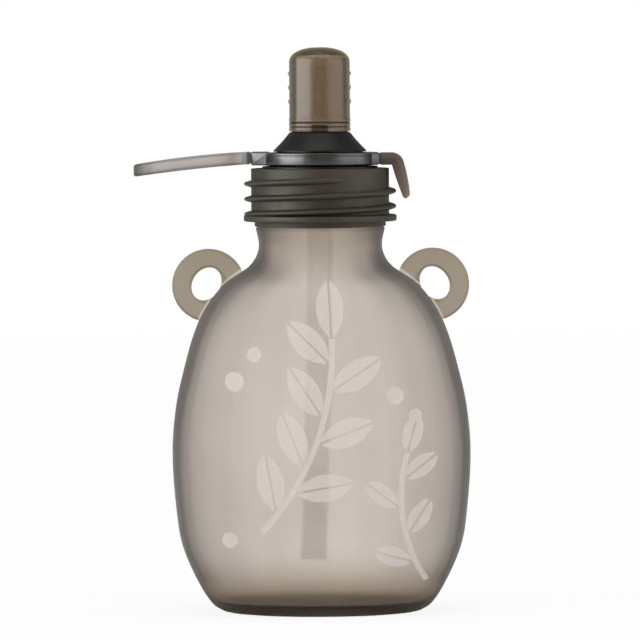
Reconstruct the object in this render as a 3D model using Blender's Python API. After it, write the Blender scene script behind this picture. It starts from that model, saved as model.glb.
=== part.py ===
"""Reusable silicone food pouch with a threaded collar, a push-in spout lid, a strap and a cap.

Units are metres, +Z is up and the front faces -Y. The origin is the centre of the flat underside of the
bag. Every size is written once in the first section, and what fits into or seats on another piece takes
its size from the same values and a named clearance.
"""

from math import cos, copysign, hypot, pi, radians, sin, sqrt

import bmesh
import bpy
from mathutils import Matrix, Vector

MM = 0.001

# Clearances between pieces that touch or slide
SEAT_GAP = 0.3 * MM
HINGE_GAP = 0.3 * MM

# Bag: heights and half sizes of the oval outline, from the underside to the neck
BAG_OUTLINE = [
    # height, half width, half depth, squareness of the oval (2 is a true ellipse)
    (0.0 * MM, 27.3 * MM, 18.5 * MM, 2.10),
    (2.1 * MM, 30.5 * MM, 20.6 * MM, 2.15),
    (8.9 * MM, 35.1 * MM, 23.4 * MM, 2.20),
    (17.8 * MM, 38.8 * MM, 25.5 * MM, 2.25),
    (42.6 * MM, 41.9 * MM, 27.2 * MM, 2.25),
    (65.0 * MM, 39.3 * MM, 26.0 * MM, 2.20),
    (82.5 * MM, 34.0 * MM, 23.6 * MM, 2.12),
    (92.3 * MM, 27.0 * MM, 21.4 * MM, 2.05),
    (97.1 * MM, 20.0 * MM, 18.9 * MM, 2.0),
    (102.1 * MM, 17.35 * MM, 17.35 * MM, 2.0),
    (108.3 * MM, 18.2 * MM, 18.2 * MM, 2.0),
]
BAG_WALL = 2.0 * MM
BAG_FLOOR = 2.8 * MM
BAG_FLOOR_FILLET = 5.0 * MM
NECK_TOP = BAG_OUTLINE[-1][0]
NECK_RADIUS = BAG_OUTLINE[-1][1]
NECK_WALL = 2.9 * MM
NECK_BORE = NECK_RADIUS - NECK_WALL

# Shoulder loops, one each side, in the plane of the bag's width
EAR_CENTRE_Z = 91.8 * MM
EAR_STANDOFF = 3.9763 * MM
EAR_RADIUS = 10.2 * MM
EAR_THICKNESS = 3.8 * MM
EAR_EDGE = 1.0 * MM
EAR_HOLE_RADIUS = 4.9 * MM
EAR_HOLE_FLAT = 2.1 * MM
EAR_FLAT_ANGLE = radians(-40.0)

# Rigid collar in the neck
COLLAR_SLEEVE_RADIUS = NECK_BORE - 2 * SEAT_GAP
COLLAR_BARB_RADIUS = NECK_BORE - SEAT_GAP
COLLAR_SLEEVE_WALL = 1.5 * MM
COLLAR_SLEEVE_DEPTH = 2.6 * MM
COLLAR_BARB_DEPTH = 1.4 * MM
COLLAR_STEP_HEIGHT = 1.1 * MM
COLLAR_STEP_RADIUS = NECK_RADIUS + 0.2 * MM
COLLAR_CORE_RADIUS = 19.35 * MM
COLLAR_CORE_HEIGHT = 13.0 * MM
COLLAR_CORE_WALL = 2.85 * MM
COLLAR_FLANGE_REACH = 2.1 * MM
COLLAR_FLANGE_THICKNESS = 1.8 * MM
COLLAR_CHAMFER = 0.5 * MM
COLLAR_BORE = COLLAR_CORE_RADIUS - COLLAR_CORE_WALL
COLLAR_FLANGE_RADIUS = COLLAR_CORE_RADIUS + COLLAR_FLANGE_REACH
COLLAR_STEP_BASE = NECK_TOP + SEAT_GAP
COLLAR_FLANGE_BASE = COLLAR_STEP_BASE + COLLAR_STEP_HEIGHT
COLLAR_LEDGE = COLLAR_FLANGE_BASE + COLLAR_FLANGE_THICKNESS
COLLAR_TOP = COLLAR_LEDGE + COLLAR_CORE_HEIGHT
COLLAR_MOUTH = COLLAR_SLEEVE_RADIUS - COLLAR_SLEEVE_WALL

# Sizes that the lid, the drinking spout, its cap and the straw share
SPOUT_BORE = 2.0 * MM
CAP_RADIUS = 8.5 * MM

# Lid: plug in the collar, groove for the strap, cone and spigot
PLUG_RADIUS = COLLAR_BORE - SEAT_GAP
PLUG_WALL = 2.6 * MM
PLUG_STANDS_PROUD = 0.6 * MM
PLUG_RIM = 1.8 * MM
SEAL_GROOVE_HEIGHT = 3.8 * MM
SEAL_GROOVE_DEPTH = 1.3 * MM
LID_GROOVE_DEPTH = 4.2 * MM
CONE_LIP_REACH = 1.3 * MM
CONE_TOP_MARGIN = 0.2 * MM
CONE_HEIGHT = 5.3 * MM
CONE_BULGE = 0.1 * MM
LID_WALL = 1.6 * MM
SPIGOT_BARB = 0.3 * MM
SPIGOT_HEIGHT = 8.0 * MM
SOCKET_WALL = 1.4 * MM
SOCKET_DEPTH = 13.0 * MM
LID_GROOVE_RADIUS = PLUG_RADIUS - LID_GROOVE_DEPTH
CONE_LIP_RADIUS = LID_GROOVE_RADIUS + CONE_LIP_REACH
CONE_TOP_RADIUS = CAP_RADIUS + CONE_TOP_MARGIN
SPIGOT_RADIUS = SPOUT_BORE + LID_WALL
PLUG_BASE = COLLAR_LEDGE + SEAT_GAP
PLUG_TOP = COLLAR_TOP + PLUG_STANDS_PROUD
SEAL_GROOVE_TOP = PLUG_TOP - PLUG_RIM
SEAL_GROOVE_BASE = SEAL_GROOVE_TOP - SEAL_GROOVE_HEIGHT

# Lip seal in the plug's groove
SEAL_LIP = 0.5 * MM
SEAL_INNER = PLUG_RADIUS - SEAL_GROOVE_DEPTH + SEAT_GAP
SEAL_OUTER = PLUG_RADIUS

# Strap round the lid: ring, lugs, finger loop and pull tab
STRAP_THICKNESS = 3.5 * MM
STRAP_OVERHANG = 0.1 * MM
STRAP_EDGE = 0.45 * MM
STRAP_LUG_STEP = 0.05 * MM
STRAP_LUG_REACH = 2.9 * MM
STRAP_LUG_WIDTH = 10.0 * MM
STRAP_TAB_LUG_REACH = 0.2 * MM
STRAP_RADIUS = PLUG_RADIUS + STRAP_OVERHANG
STRAP_BASE = PLUG_TOP + SEAT_GAP
STRAP_TOP = STRAP_BASE + STRAP_THICKNESS
STRAP_MIDDLE = (STRAP_BASE + STRAP_TOP) / 2
CONE_BASE = STRAP_TOP + SEAT_GAP
CONE_TOP = CONE_BASE + CONE_HEIGHT
HINGE_THICKNESS = STRAP_THICKNESS - 2 * STRAP_LUG_STEP
LOOP_RADIUS = 15.6 * MM
LOOP_BAND = 4.4 * MM
LOOP_EDGE = 1.0 * MM
LOOP_ROOT_STEP = 0.5 * MM
LOOP_ROOT_LENGTH = 3.0 * MM
LOOP_DROOP = radians(6.5)
TAB_TIP_THICKNESS = 2.2 * MM
TAB_WIDTH = 13.0 * MM
TAB_TIP_WIDTH = 7.0 * MM
TAB_CLEARANCE = 2.9 * MM
TAB_DROP = 10.0 * MM
TAB_ELBOW = 2.75 * MM
TAB_BEND = 1.75 * MM
LOOP_ROOT_WIDTH = STRAP_LUG_WIDTH - 2 * LOOP_ROOT_STEP
LOOP_HINGE_X = -(STRAP_RADIUS + STRAP_LUG_REACH + HINGE_GAP + HINGE_THICKNESS / 2)
TAB_HINGE_X = STRAP_RADIUS + STRAP_TAB_LUG_REACH + HINGE_GAP + HINGE_THICKNESS / 2
TAB_REACH = COLLAR_FLANGE_RADIUS + TAB_CLEARANCE - TAB_HINGE_X

# Drinking spout over the spigot
SPOUT_FLANGE_THICKNESS = 1.5 * MM
SPOUT_ROOT_RADIUS = 5.6 * MM
SPOUT_TIP_RADIUS = 4.7 * MM
SPOUT_HEIGHT = 18.4 * MM
SPOUT_TIP_ROUND = 1.8 * MM
SPOUT_BASE = CONE_TOP + SEAT_GAP
SPOUT_SOCKET = SPIGOT_RADIUS + SPIGOT_BARB + SEAT_GAP
SPIGOT_TOP = CONE_TOP + SPIGOT_HEIGHT

# Cap over the spout
CAP_GAP = 0.36 * MM
CAP_BAND = 0.12 * MM
CAP_BAND_HEIGHT = 3.6 * MM
CAP_DOME_HEIGHT = 4.3 * MM
CAP_DOME_POWER = 2.4
CAP_SKIRT_WALL = 1.0 * MM
CAP_WALL = 1.35 * MM
CAP_ROOF = 2.7 * MM
CAP_HEADROOM = 2.4 * MM
CAP_PIN_LENGTH = 4.4 * MM
CAP_HEIGHT = SPOUT_HEIGHT + CAP_HEADROOM + CAP_ROOF
CAP_PIN_RADIUS = SPOUT_BORE - CAP_GAP
CAP_BASE = CONE_TOP + CAP_GAP
CAP_TOP = CAP_BASE + CAP_HEIGHT
SPOUT_FLANGE_RADIUS = CAP_RADIUS + CAP_BAND - CAP_SKIRT_WALL - SEAT_GAP

# Straw from the lid's socket to just above the floor
STRAW_RADIUS = 3.65 * MM
STRAW_END_HEIGHT = 14.6 * MM
STRAW_LEAN = 2.4 * MM
SOCKET_BORE = STRAW_RADIUS + SEAT_GAP
SOCKET_RADIUS = SOCKET_BORE + SOCKET_WALL
SOCKET_BASE = PLUG_BASE + 0.5 * MM
SOCKET_STOP = SOCKET_BASE + SOCKET_DEPTH
STRAW_TOP = SOCKET_STOP - SEAT_GAP

# Facets
BAG_SIDES = 48
BAG_OUTER_STEPS = 3
BAG_INNER_STEPS = 2
ROUND_SIDES = 40
SMALL_SIDES = 28
STRAW_SIDES = 14
SHARP_ANGLE = radians(35.0)
MERGE_DISTANCE = 0.00001


def clear_scene():
    """Remove every object that the start-up scene holds."""
    for item in list(bpy.data.objects):
        bpy.data.objects.remove(item, do_unlink=True)


def make_material(name, colour, roughness, alpha=1.0):
    """Return a plain plastic or silicone material."""
    material = bpy.data.materials.new(name)
    material.use_nodes = True
    shader = material.node_tree.nodes["Principled BSDF"]
    shader.inputs["Base Color"].default_value = (*colour, 1.0)
    shader.inputs["Roughness"].default_value = roughness
    shader.inputs["Metallic"].default_value = 0.0
    shader.inputs["Alpha"].default_value = alpha
    return material


def make_object(name, bm, material):
    """Turn a bmesh into a named, smooth-shaded object with its faces pointing out."""
    bmesh.ops.recalc_face_normals(bm, faces=bm.faces)
    mesh = bpy.data.meshes.new(name)
    bm.to_mesh(mesh)
    bm.free()
    mesh.shade_smooth()
    mesh.set_sharp_from_angle(angle=SHARP_ANGLE)
    item = bpy.data.objects.new(name, mesh)
    bpy.context.collection.objects.link(item)
    if material is not None:
        mesh.materials.append(material)
    return item


def make_cutter(name, bm):
    """Turn a bmesh into a hidden object that a Boolean modifier uses."""
    item = make_object(name, bm, None)
    item.hide_render = True
    item.display_type = "WIRE"
    return item


def boolean(item, cutter, operation):
    """Add an exact Boolean modifier."""
    modifier = item.modifiers.new(cutter.name, "BOOLEAN")
    modifier.operation = operation
    modifier.solver = "EXACT"
    modifier.object = cutter


def spun(profile, sides):
    """Spin a closed (radius, height) outline about the Z axis."""
    bm = bmesh.new()
    points = [bm.verts.new((radius, 0.0, height)) for radius, height in profile]
    edges = [bm.edges.new((points[i - 1], points[i])) for i in range(len(points))]
    bmesh.ops.spin(
        bm,
        geom=points + edges,
        cent=(0.0, 0.0, 0.0),
        axis=(0.0, 0.0, 1.0),
        angle=2 * pi,
        steps=sides,
        use_merge=True,
    )
    bmesh.ops.remove_doubles(bm, verts=bm.verts, dist=MERGE_DISTANCE)
    return bm


def skinned(rings, closed):
    """Join rings of points into one skin, and cap its ends or close it on itself."""
    bm = bmesh.new()
    loops = [[bm.verts.new(point) for point in ring] for ring in rings]
    first = 0 if closed else 1
    for i in range(first, len(loops)):
        lower, upper = loops[i - 1], loops[i]
        for j in range(len(lower)):
            bm.faces.new((lower[j - 1], lower[j], upper[j], upper[j - 1]))
    if not closed:
        bm.faces.new(loops[0])
        bm.faces.new(loops[-1])
    return bm


def smooth_value(stations, column, height):
    """Read one column of an outline at a height, on a smooth curve through its stations."""
    last = len(stations) - 1
    span = 0
    while span < last - 1 and height > stations[span + 1][0]:
        span += 1
    lower, upper = stations[span], stations[span + 1]
    step = upper[0] - lower[0]
    share = min(max((height - lower[0]) / step, 0.0), 1.0)

    def slope(index):
        before, after = stations[max(index - 1, 0)], stations[min(index + 1, last)]
        return (after[column] - before[column]) / (after[0] - before[0])

    square, cube = share**2, share**3
    return (
        lower[column] * (2 * cube - 3 * square + 1)
        + slope(span) * step * (cube - 2 * square + share)
        + upper[column] * (3 * square - 2 * cube)
        + slope(span + 1) * step * (cube - square)
    )


def oval_ring(half_width, half_depth, power, height, sides):
    """Return a level ring of points on a superellipse."""
    ring = []
    for i in range(sides):
        angle = 2 * pi * i / sides
        x = copysign(abs(cos(angle)) ** (2 / power), cos(angle))
        y = copysign(abs(sin(angle)) ** (2 / power), sin(angle))
        ring.append((half_width * x, half_depth * y, height))
    return ring


def bag_heights(low, steps):
    """Return ring heights from a low one up to the neck's rim, a few in each span of the outline."""
    starts = [max(station[0], low) for station in BAG_OUTLINE if station[0] > low]
    heights = []
    for lower, upper in zip([low] + starts, starts):
        heights += [lower + (upper - lower) * i / steps for i in range(steps)]
    return heights + [NECK_TOP]


def bag_outer_ring(height):
    """Return the bag's outer ring at a height."""
    half_width, half_depth, power = (smooth_value(BAG_OUTLINE, k, height) for k in (1, 2, 3))
    return oval_ring(half_width, half_depth, power, height, BAG_SIDES)


def bag_inner_size(height, column):
    """Return the cavity's half size at a height: one wall inside, and never under the neck's bore."""
    delta = 0.5 * MM
    outer = smooth_value(BAG_OUTLINE, column, height)
    rise = smooth_value(BAG_OUTLINE, column, height + delta) - smooth_value(
        BAG_OUTLINE, column, height - delta
    )
    return max(outer - BAG_WALL * hypot(1.0, rise / (2 * delta)), NECK_BORE)


def bag_cavity_rings():
    """Return the rings of the hollow, from the filleted floor up through the open neck."""
    rings = []
    above = BAG_FLOOR + BAG_FLOOR_FILLET
    fillet_steps = 5
    for i in range(fillet_steps):
        turn = 0.5 * pi * i / fillet_steps
        inset = BAG_FLOOR_FILLET * (1 - sin(turn))
        height = above - BAG_FLOOR_FILLET * cos(turn)
        power = smooth_value(BAG_OUTLINE, 3, height)
        width, depth = (bag_inner_size(above, k) - inset for k in (1, 2))
        rings.append(oval_ring(width, depth, power, height, BAG_SIDES))
    for height in bag_heights(above, BAG_INNER_STEPS):
        power = smooth_value(BAG_OUTLINE, 3, height)
        width, depth = (bag_inner_size(height, k) for k in (1, 2))
        rings.append(oval_ring(width, depth, power, height, BAG_SIDES))
    open_top = NECK_TOP + BAG_WALL
    rings.append(oval_ring(NECK_BORE, NECK_BORE, 2.0, open_top, BAG_SIDES))
    return rings


def ear_centre(side):
    """Return a loop's centre, a fixed distance outside the bag's side at its height."""
    beside = smooth_value(BAG_OUTLINE, 1, EAR_CENTRE_Z) + EAR_STANDOFF
    return Vector((side * beside, 0.0, EAR_CENTRE_Z))


def ear_disc(side):
    """Return one shoulder loop's disc with rounded rims, before its hole."""
    bm = bmesh.new()
    bmesh.ops.create_cone(
        bm,
        cap_ends=True,
        segments=SMALL_SIDES,
        radius1=EAR_RADIUS,
        radius2=EAR_RADIUS,
        depth=EAR_THICKNESS,
        matrix=Matrix.Rotation(pi / 2, 4, "X"),
    )
    rims = [edge for edge in bm.edges if edge.calc_face_angle(0.0) > radians(60.0)]
    bmesh.ops.bevel(bm, geom=rims, offset=EAR_EDGE, segments=2, profile=0.5, affect="EDGES")
    bmesh.ops.translate(bm, verts=bm.verts, vec=ear_centre(side))
    return bm


def ear_hole(side):
    """Return the cutter for a loop's hole: a circle with one flat, parallel to the bag's shoulder."""
    half_flat = sqrt(EAR_HOLE_RADIUS**2 - EAR_HOLE_FLAT**2)
    bm = bmesh.new()
    bmesh.ops.create_circle(
        bm, segments=SMALL_SIDES, radius=EAR_HOLE_RADIUS, cap_ends=True, matrix=Matrix.Rotation(pi / 2, 4, "X")
    )
    toward_bag = Vector((-side * cos(EAR_FLAT_ANGLE), 0.0, sin(EAR_FLAT_ANGLE)))
    bmesh.ops.bisect_plane(
        bm,
        geom=bm.verts[:] + bm.edges[:] + bm.faces[:],
        plane_co=toward_bag * EAR_HOLE_FLAT,
        plane_no=toward_bag,
        clear_outer=True,
    )
    corners = [v for v in bm.verts if abs((v.co - toward_bag * EAR_HOLE_FLAT).length - half_flat) < 0.02 * MM]
    bmesh.ops.bevel(bm, geom=corners, offset=EAR_EDGE, segments=3, profile=0.5, affect="VERTICES")
    drawn = bmesh.ops.extrude_face_region(bm, geom=bm.faces[:])
    moved = [v for v in drawn["geom"] if isinstance(v, bmesh.types.BMVert)]
    length = 4 * EAR_THICKNESS
    bmesh.ops.translate(bm, verts=moved, vec=(0.0, length, 0.0))
    bmesh.ops.translate(bm, verts=bm.verts, vec=ear_centre(side) - Vector((0.0, length / 2, 0.0)))
    return bm


def build_bag(material):
    """Model the moulded bag: oval body, round neck, both shoulder loops and the hollow."""
    outer = [bag_outer_ring(height) for height in bag_heights(0.0, BAG_OUTER_STEPS)]
    bag = make_object("pouch_body", skinned(outer, closed=False), material)
    for side, label in ((-1, "left"), (1, "right")):
        boolean(bag, make_cutter(f"ear_{label}", ear_disc(side)), "UNION")
    boolean(bag, make_cutter("cavity", skinned(bag_cavity_rings(), closed=False)), "DIFFERENCE")
    for side, label in ((-1, "left"), (1, "right")):
        boolean(bag, make_cutter(f"ear_hole_{label}", ear_hole(side)), "DIFFERENCE")


def build_collar(material):
    """Model the collar: core, flange, seating step, and a barbed sleeve inside the neck."""
    barb = COLLAR_STEP_BASE - COLLAR_BARB_DEPTH
    sleeve_end = COLLAR_STEP_BASE - COLLAR_SLEEVE_DEPTH
    profile = [
        (COLLAR_BORE + COLLAR_CHAMFER, COLLAR_TOP),
        (COLLAR_CORE_RADIUS - COLLAR_CHAMFER, COLLAR_TOP),
        (COLLAR_CORE_RADIUS, COLLAR_TOP - COLLAR_CHAMFER),
        (COLLAR_CORE_RADIUS, COLLAR_LEDGE),
        (COLLAR_FLANGE_RADIUS - COLLAR_CHAMFER, COLLAR_LEDGE),
        (COLLAR_FLANGE_RADIUS, COLLAR_LEDGE - COLLAR_CHAMFER),
        (COLLAR_FLANGE_RADIUS, COLLAR_FLANGE_BASE + COLLAR_CHAMFER),
        (COLLAR_FLANGE_RADIUS - COLLAR_CHAMFER, COLLAR_FLANGE_BASE),
        (COLLAR_STEP_RADIUS, COLLAR_FLANGE_BASE),
        (COLLAR_STEP_RADIUS, COLLAR_STEP_BASE),
        (COLLAR_SLEEVE_RADIUS, COLLAR_STEP_BASE),
        (COLLAR_SLEEVE_RADIUS, barb + COLLAR_CHAMFER),
        (COLLAR_BARB_RADIUS, barb + COLLAR_CHAMFER),
        (COLLAR_SLEEVE_RADIUS, barb - COLLAR_CHAMFER),
        (COLLAR_SLEEVE_RADIUS, sleeve_end + COLLAR_CHAMFER),
        (COLLAR_SLEEVE_RADIUS - COLLAR_CHAMFER, sleeve_end),
        (COLLAR_MOUTH, sleeve_end),
        (COLLAR_MOUTH, COLLAR_LEDGE),
        (COLLAR_BORE, COLLAR_LEDGE),
        (COLLAR_BORE, COLLAR_TOP - COLLAR_CHAMFER),
    ]
    make_object("neck_collar", spun(profile, ROUND_SIDES), material)


def cone_point(share, inset):
    """Return a point on the cone's gently bulged side, from its lip to its top."""
    bulge = CONE_BULGE * sin(pi * share)
    radius = CONE_LIP_RADIUS + (CONE_TOP_RADIUS - CONE_LIP_RADIUS) * share + bulge - inset
    return (radius, CONE_BASE + CONE_HEIGHT * share)


def build_lid(material):
    """Model the lid in one outline: spigot, cone, strap groove, plug, and the straw socket inside."""
    lip_flat = 0.5 * MM
    roof = CONE_TOP - LID_WALL
    plug_bore = PLUG_RADIUS - PLUG_WALL
    neck_bore = LID_GROOVE_RADIUS - LID_WALL
    profile = [
        (SPOUT_BORE, SPIGOT_TOP),
        (SPIGOT_RADIUS, SPIGOT_TOP),
        (SPIGOT_RADIUS + SPIGOT_BARB, SPIGOT_TOP - LID_WALL),
        (SPIGOT_RADIUS, SPIGOT_TOP - LID_WALL),
        (SPIGOT_RADIUS, CONE_TOP),
    ]
    profile += [cone_point(share, 0.0) for share in (1.0, 0.75, 0.5, 0.25, 0.08)]
    profile += [
        (CONE_LIP_RADIUS - lip_flat / 2, CONE_BASE),
        (LID_GROOVE_RADIUS, CONE_BASE),
        (LID_GROOVE_RADIUS, PLUG_TOP),
        (PLUG_RADIUS, PLUG_TOP),
        (PLUG_RADIUS, SEAL_GROOVE_TOP),
        (PLUG_RADIUS - SEAL_GROOVE_DEPTH, SEAL_GROOVE_TOP),
        (PLUG_RADIUS - SEAL_GROOVE_DEPTH, SEAL_GROOVE_BASE),
        (PLUG_RADIUS, SEAL_GROOVE_BASE),
        (PLUG_RADIUS, PLUG_BASE + COLLAR_CHAMFER),
        (PLUG_RADIUS - COLLAR_CHAMFER, PLUG_BASE),
        (plug_bore, PLUG_BASE),
        (plug_bore, PLUG_TOP - LID_WALL),
        (neck_bore, PLUG_TOP),
        (neck_bore, CONE_BASE),
        (CONE_TOP_RADIUS - LID_WALL / 2, roof),
        (SOCKET_RADIUS, roof),
        (SOCKET_RADIUS, SOCKET_BASE),
        (SOCKET_BORE, SOCKET_BASE),
        (SOCKET_BORE, SOCKET_STOP),
        (SPOUT_BORE, SOCKET_STOP),
    ]
    make_object("spout_lid", spun(profile, ROUND_SIDES), material)


def build_seal(material):
    """Model the seal with two rounded lips, in the plug's groove."""
    top = SEAL_GROOVE_TOP - SEAT_GAP
    base = SEAL_GROOVE_BASE + SEAT_GAP
    middle = (top + base) / 2
    quarter = (top - base) / 4
    profile = [(SEAL_INNER, base), (SEAL_INNER, top), (SEAL_OUTER - SEAL_LIP, top)]
    for height in (middle + quarter, middle - quarter):
        profile.append((SEAL_OUTER, height + SEAL_LIP / 2))
        profile.append((SEAL_OUTER, height - SEAL_LIP / 2))
        profile.append((SEAL_OUTER - SEAL_LIP, height - quarter))
    make_object("lid_seal", spun(profile, ROUND_SIDES), material)


def block(low, high):
    """Return a box between two corners."""
    bm = bmesh.new()
    bmesh.ops.create_cube(bm, size=1.0)
    size = [b - a for a, b in zip(low, high)]
    centre = [(a + b) / 2 for a, b in zip(low, high)]
    bmesh.ops.scale(bm, verts=bm.verts, vec=size)
    bmesh.ops.translate(bm, verts=bm.verts, vec=centre)
    return bm


def rounded_band(inner, outer, base, top, edge):
    """Return the outline of a flat ring with chamfered edges."""
    return [
        (inner, base + edge),
        (inner, top - edge),
        (inner + edge, top),
        (outer - edge, top),
        (outer, top - edge),
        (outer, base + edge),
        (outer - edge, base),
        (inner + edge, base),
    ]


def build_strap_ring(material):
    """Model the strap's ring round the lid, with a lug for the loop and one for the tab."""
    inner = LID_GROOVE_RADIUS + SEAT_GAP
    band = rounded_band(inner, STRAP_RADIUS, STRAP_BASE, STRAP_TOP, STRAP_EDGE)
    ring = make_object("strap_ring", spun(band, ROUND_SIDES), material)
    half = STRAP_LUG_WIDTH / 2
    sink = (inner + STRAP_RADIUS) / 2
    low, high = STRAP_MIDDLE - HINGE_THICKNESS / 2, STRAP_MIDDLE + HINGE_THICKNESS / 2
    loop_lug = block((-STRAP_RADIUS - STRAP_LUG_REACH, -half, low), (-sink, half, high))
    tab_half = TAB_WIDTH / 2
    tab_lug = block((sink, -tab_half, low), (STRAP_RADIUS + STRAP_TAB_LUG_REACH, tab_half, high))
    boolean(ring, make_cutter("loop_lug", loop_lug), "UNION")
    boolean(ring, make_cutter("tab_lug", tab_lug), "UNION")


def build_finger_loop(material):
    """Model the finger loop, drooping from its hinge, with a rounded root that turns in place."""
    inner = LOOP_RADIUS - LOOP_BAND
    half = HINGE_THICKNESS / 2
    bm = spun(rounded_band(inner, LOOP_RADIUS, -half, half, LOOP_EDGE), ROUND_SIDES)
    bmesh.ops.translate(bm, verts=bm.verts, vec=(-LOOP_RADIUS, 0.0, 0.0))
    loop = make_object("finger_loop", bm, material)
    sections = []
    for y in (-LOOP_ROOT_WIDTH / 2, LOOP_ROOT_WIDTH / 2):
        arc = [(half * sin(pi * i / 8), y, half * cos(pi * i / 8)) for i in range(9)]
        sections.append(arc + [(-LOOP_ROOT_LENGTH, y, -half), (-LOOP_ROOT_LENGTH, y, half)])
    root = make_cutter("loop_root", skinned(sections, closed=False))
    boolean(loop, root, "UNION")
    place = Vector((LOOP_HINGE_X, 0.0, STRAP_MIDDLE))
    for item in (loop, root):
        item.location = place
        item.rotation_euler = (0.0, -LOOP_DROOP, 0.0)


def tab_path():
    """Return the corner of the pull tab's bend, the middle of its tip, and the direction down to it."""
    corner = Vector((TAB_ELBOW, 0.0, 0.0))
    tip = Vector((TAB_REACH, 0.0, -TAB_DROP))
    return corner, tip, (tip - corner).normalized()


def tab_ring(centre, along, run):
    """Return a rounded cross-section of the pull tab.

    centre is its middle and along the tab's direction there. run goes from 0 at the bend to 1 at the tip.
    """
    across = Vector((-along.z, 0.0, along.x))
    half = (HINGE_THICKNESS + (TAB_TIP_THICKNESS - HINGE_THICKNESS) * run**2) / 2
    width = (TAB_WIDTH + (TAB_TIP_WIDTH - TAB_WIDTH) * run**2) / 2
    edge = 0.6 * half
    corners = ((-1, -1), (1, -1), (1, 1), (-1, 1))
    ring = []
    for i, (across_sign, side_sign) in enumerate(corners):
        first = (across_sign * half, side_sign * (width - edge))
        second = (across_sign * (half - edge), side_sign * width)
        pair = (first, second) if i % 2 == 0 else (second, first)
        ring += [centre + across * a + Vector((0.0, b, 0.0)) for a, b in pair]
    return ring


def build_pull_tab(material):
    """Model the pull tab: flat from its rounded root, bent down past the collar to a rounded tip."""
    corner, tip, down = tab_path()
    level = Vector((1.0, 0.0, 0.0))
    start, end = corner - level * TAB_BEND, corner + down * TAB_BEND
    rings = [tab_ring(Vector(), level, 0.0)]
    for share in (0.0, 0.25, 0.5, 0.75, 1.0):
        centre = start * (1 - share) ** 2 + corner * 2 * share * (1 - share) + end * share**2
        rings.append(tab_ring(centre, (level * (1 - share) + down * share).normalized(), 0.0))
    rings += [tab_ring(end.lerp(tip, run), down, run) for run in (0.35, 0.7, 1.0)]
    for turn in (30.0, 60.0, 80.0):
        squeeze, back = cos(radians(turn)), HINGE_THICKNESS / 2 * sin(radians(turn))
        rings.insert(0, [Vector((p.x - back, p.y, p.z * squeeze)) for p in tab_ring(Vector(), level, 0.0)])
    for turn in (35.0, 65.0):
        squeeze, ahead = cos(radians(turn)), TAB_TIP_THICKNESS / 2 * sin(radians(turn))
        rings.append([tip + (p - tip) * squeeze + down * ahead for p in tab_ring(tip, down, 1.0)])
    tab = make_object("pull_tab", skinned(rings, closed=False), material)
    tab.location = (TAB_HINGE_X, 0.0, STRAP_MIDDLE)


def build_spout(material):
    """Model the soft drinking spout, pushed over the lid's spigot."""
    top = SPOUT_BASE + SPOUT_HEIGHT
    socket_top = SPIGOT_TOP + SEAT_GAP
    flange_top = SPOUT_BASE + SPOUT_FLANGE_THICKNESS
    profile = [
        (SPOUT_SOCKET, SPOUT_BASE),
        (SPOUT_FLANGE_RADIUS, SPOUT_BASE),
        (SPOUT_FLANGE_RADIUS, flange_top),
        (SPOUT_ROOT_RADIUS, flange_top),
    ]
    shoulder = top - SPOUT_TIP_ROUND
    for turn in (0.0, 30.0, 60.0, 90.0):
        radius = SPOUT_TIP_RADIUS - SPOUT_TIP_ROUND * (1 - cos(radians(turn)))
        profile.append((radius, shoulder + SPOUT_TIP_ROUND * sin(radians(turn))))
    profile += [(SPOUT_BORE, top), (SPOUT_BORE, socket_top), (SPOUT_SOCKET, socket_top)]
    make_object("spout_nozzle", spun(profile, SMALL_SIDES), material)


def build_cap(material):
    """Model the cap: banded skirt, domed roof, and the pin that stops the spout's bore."""
    dome_base = CAP_TOP - CAP_DOME_HEIGHT
    band_top = CAP_BASE + CAP_BAND_HEIGHT
    band_radius = CAP_RADIUS + CAP_BAND
    roof = CAP_TOP - CAP_ROOF
    cavity = CAP_RADIUS - CAP_WALL
    skirt = CAP_RADIUS - CAP_SKIRT_WALL + CAP_BAND
    profile = [
        (skirt, CAP_BASE),
        (band_radius - CAP_BAND, CAP_BASE),
        (band_radius, CAP_BASE + CAP_BAND),
        (band_radius, band_top - CAP_BAND),
        (CAP_RADIUS, band_top),
    ]
    for i in range(8):
        turn = 0.5 * pi * i / 8
        reach = CAP_RADIUS * cos(turn) ** (2 / CAP_DOME_POWER)
        rise = CAP_DOME_HEIGHT * sin(turn) ** (2 / CAP_DOME_POWER)
        profile.append((reach, dome_base + rise))
    profile += [
        (0.0, CAP_TOP),
        (0.0, roof - CAP_PIN_LENGTH),
        (CAP_PIN_RADIUS, roof - CAP_PIN_LENGTH),
        (CAP_PIN_RADIUS, roof),
        (cavity - CAP_WALL, roof),
        (cavity, roof - CAP_WALL),
        (cavity, band_top),
        (skirt, band_top),
    ]
    make_object("spout_cap", spun(profile, SMALL_SIDES), material)


def straw_ring(height, radius):
    """Return a ring of the straw: upright in its socket, then leaning evenly to the left."""
    free = max(SOCKET_BASE - height, 0.0) / (SOCKET_BASE - STRAW_END_HEIGHT)
    x = -STRAW_LEAN * free**1.5
    turns = [2 * pi * i / STRAW_SIDES for i in range(STRAW_SIDES)]
    return [(x + radius * cos(turn), radius * sin(turn), height) for turn in turns]


def build_straw(material):
    """Model the straw as one open tube."""
    steps = 8
    heights = [STRAW_TOP]
    heights += [SOCKET_BASE + (STRAW_END_HEIGHT - SOCKET_BASE) * i / steps for i in range(steps + 1)]
    rings = [straw_ring(height, STRAW_RADIUS) for height in heights]
    rings += [straw_ring(height, SPOUT_BORE) for height in reversed(heights)]
    make_object("straw", skinned(rings, closed=True), material)


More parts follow.
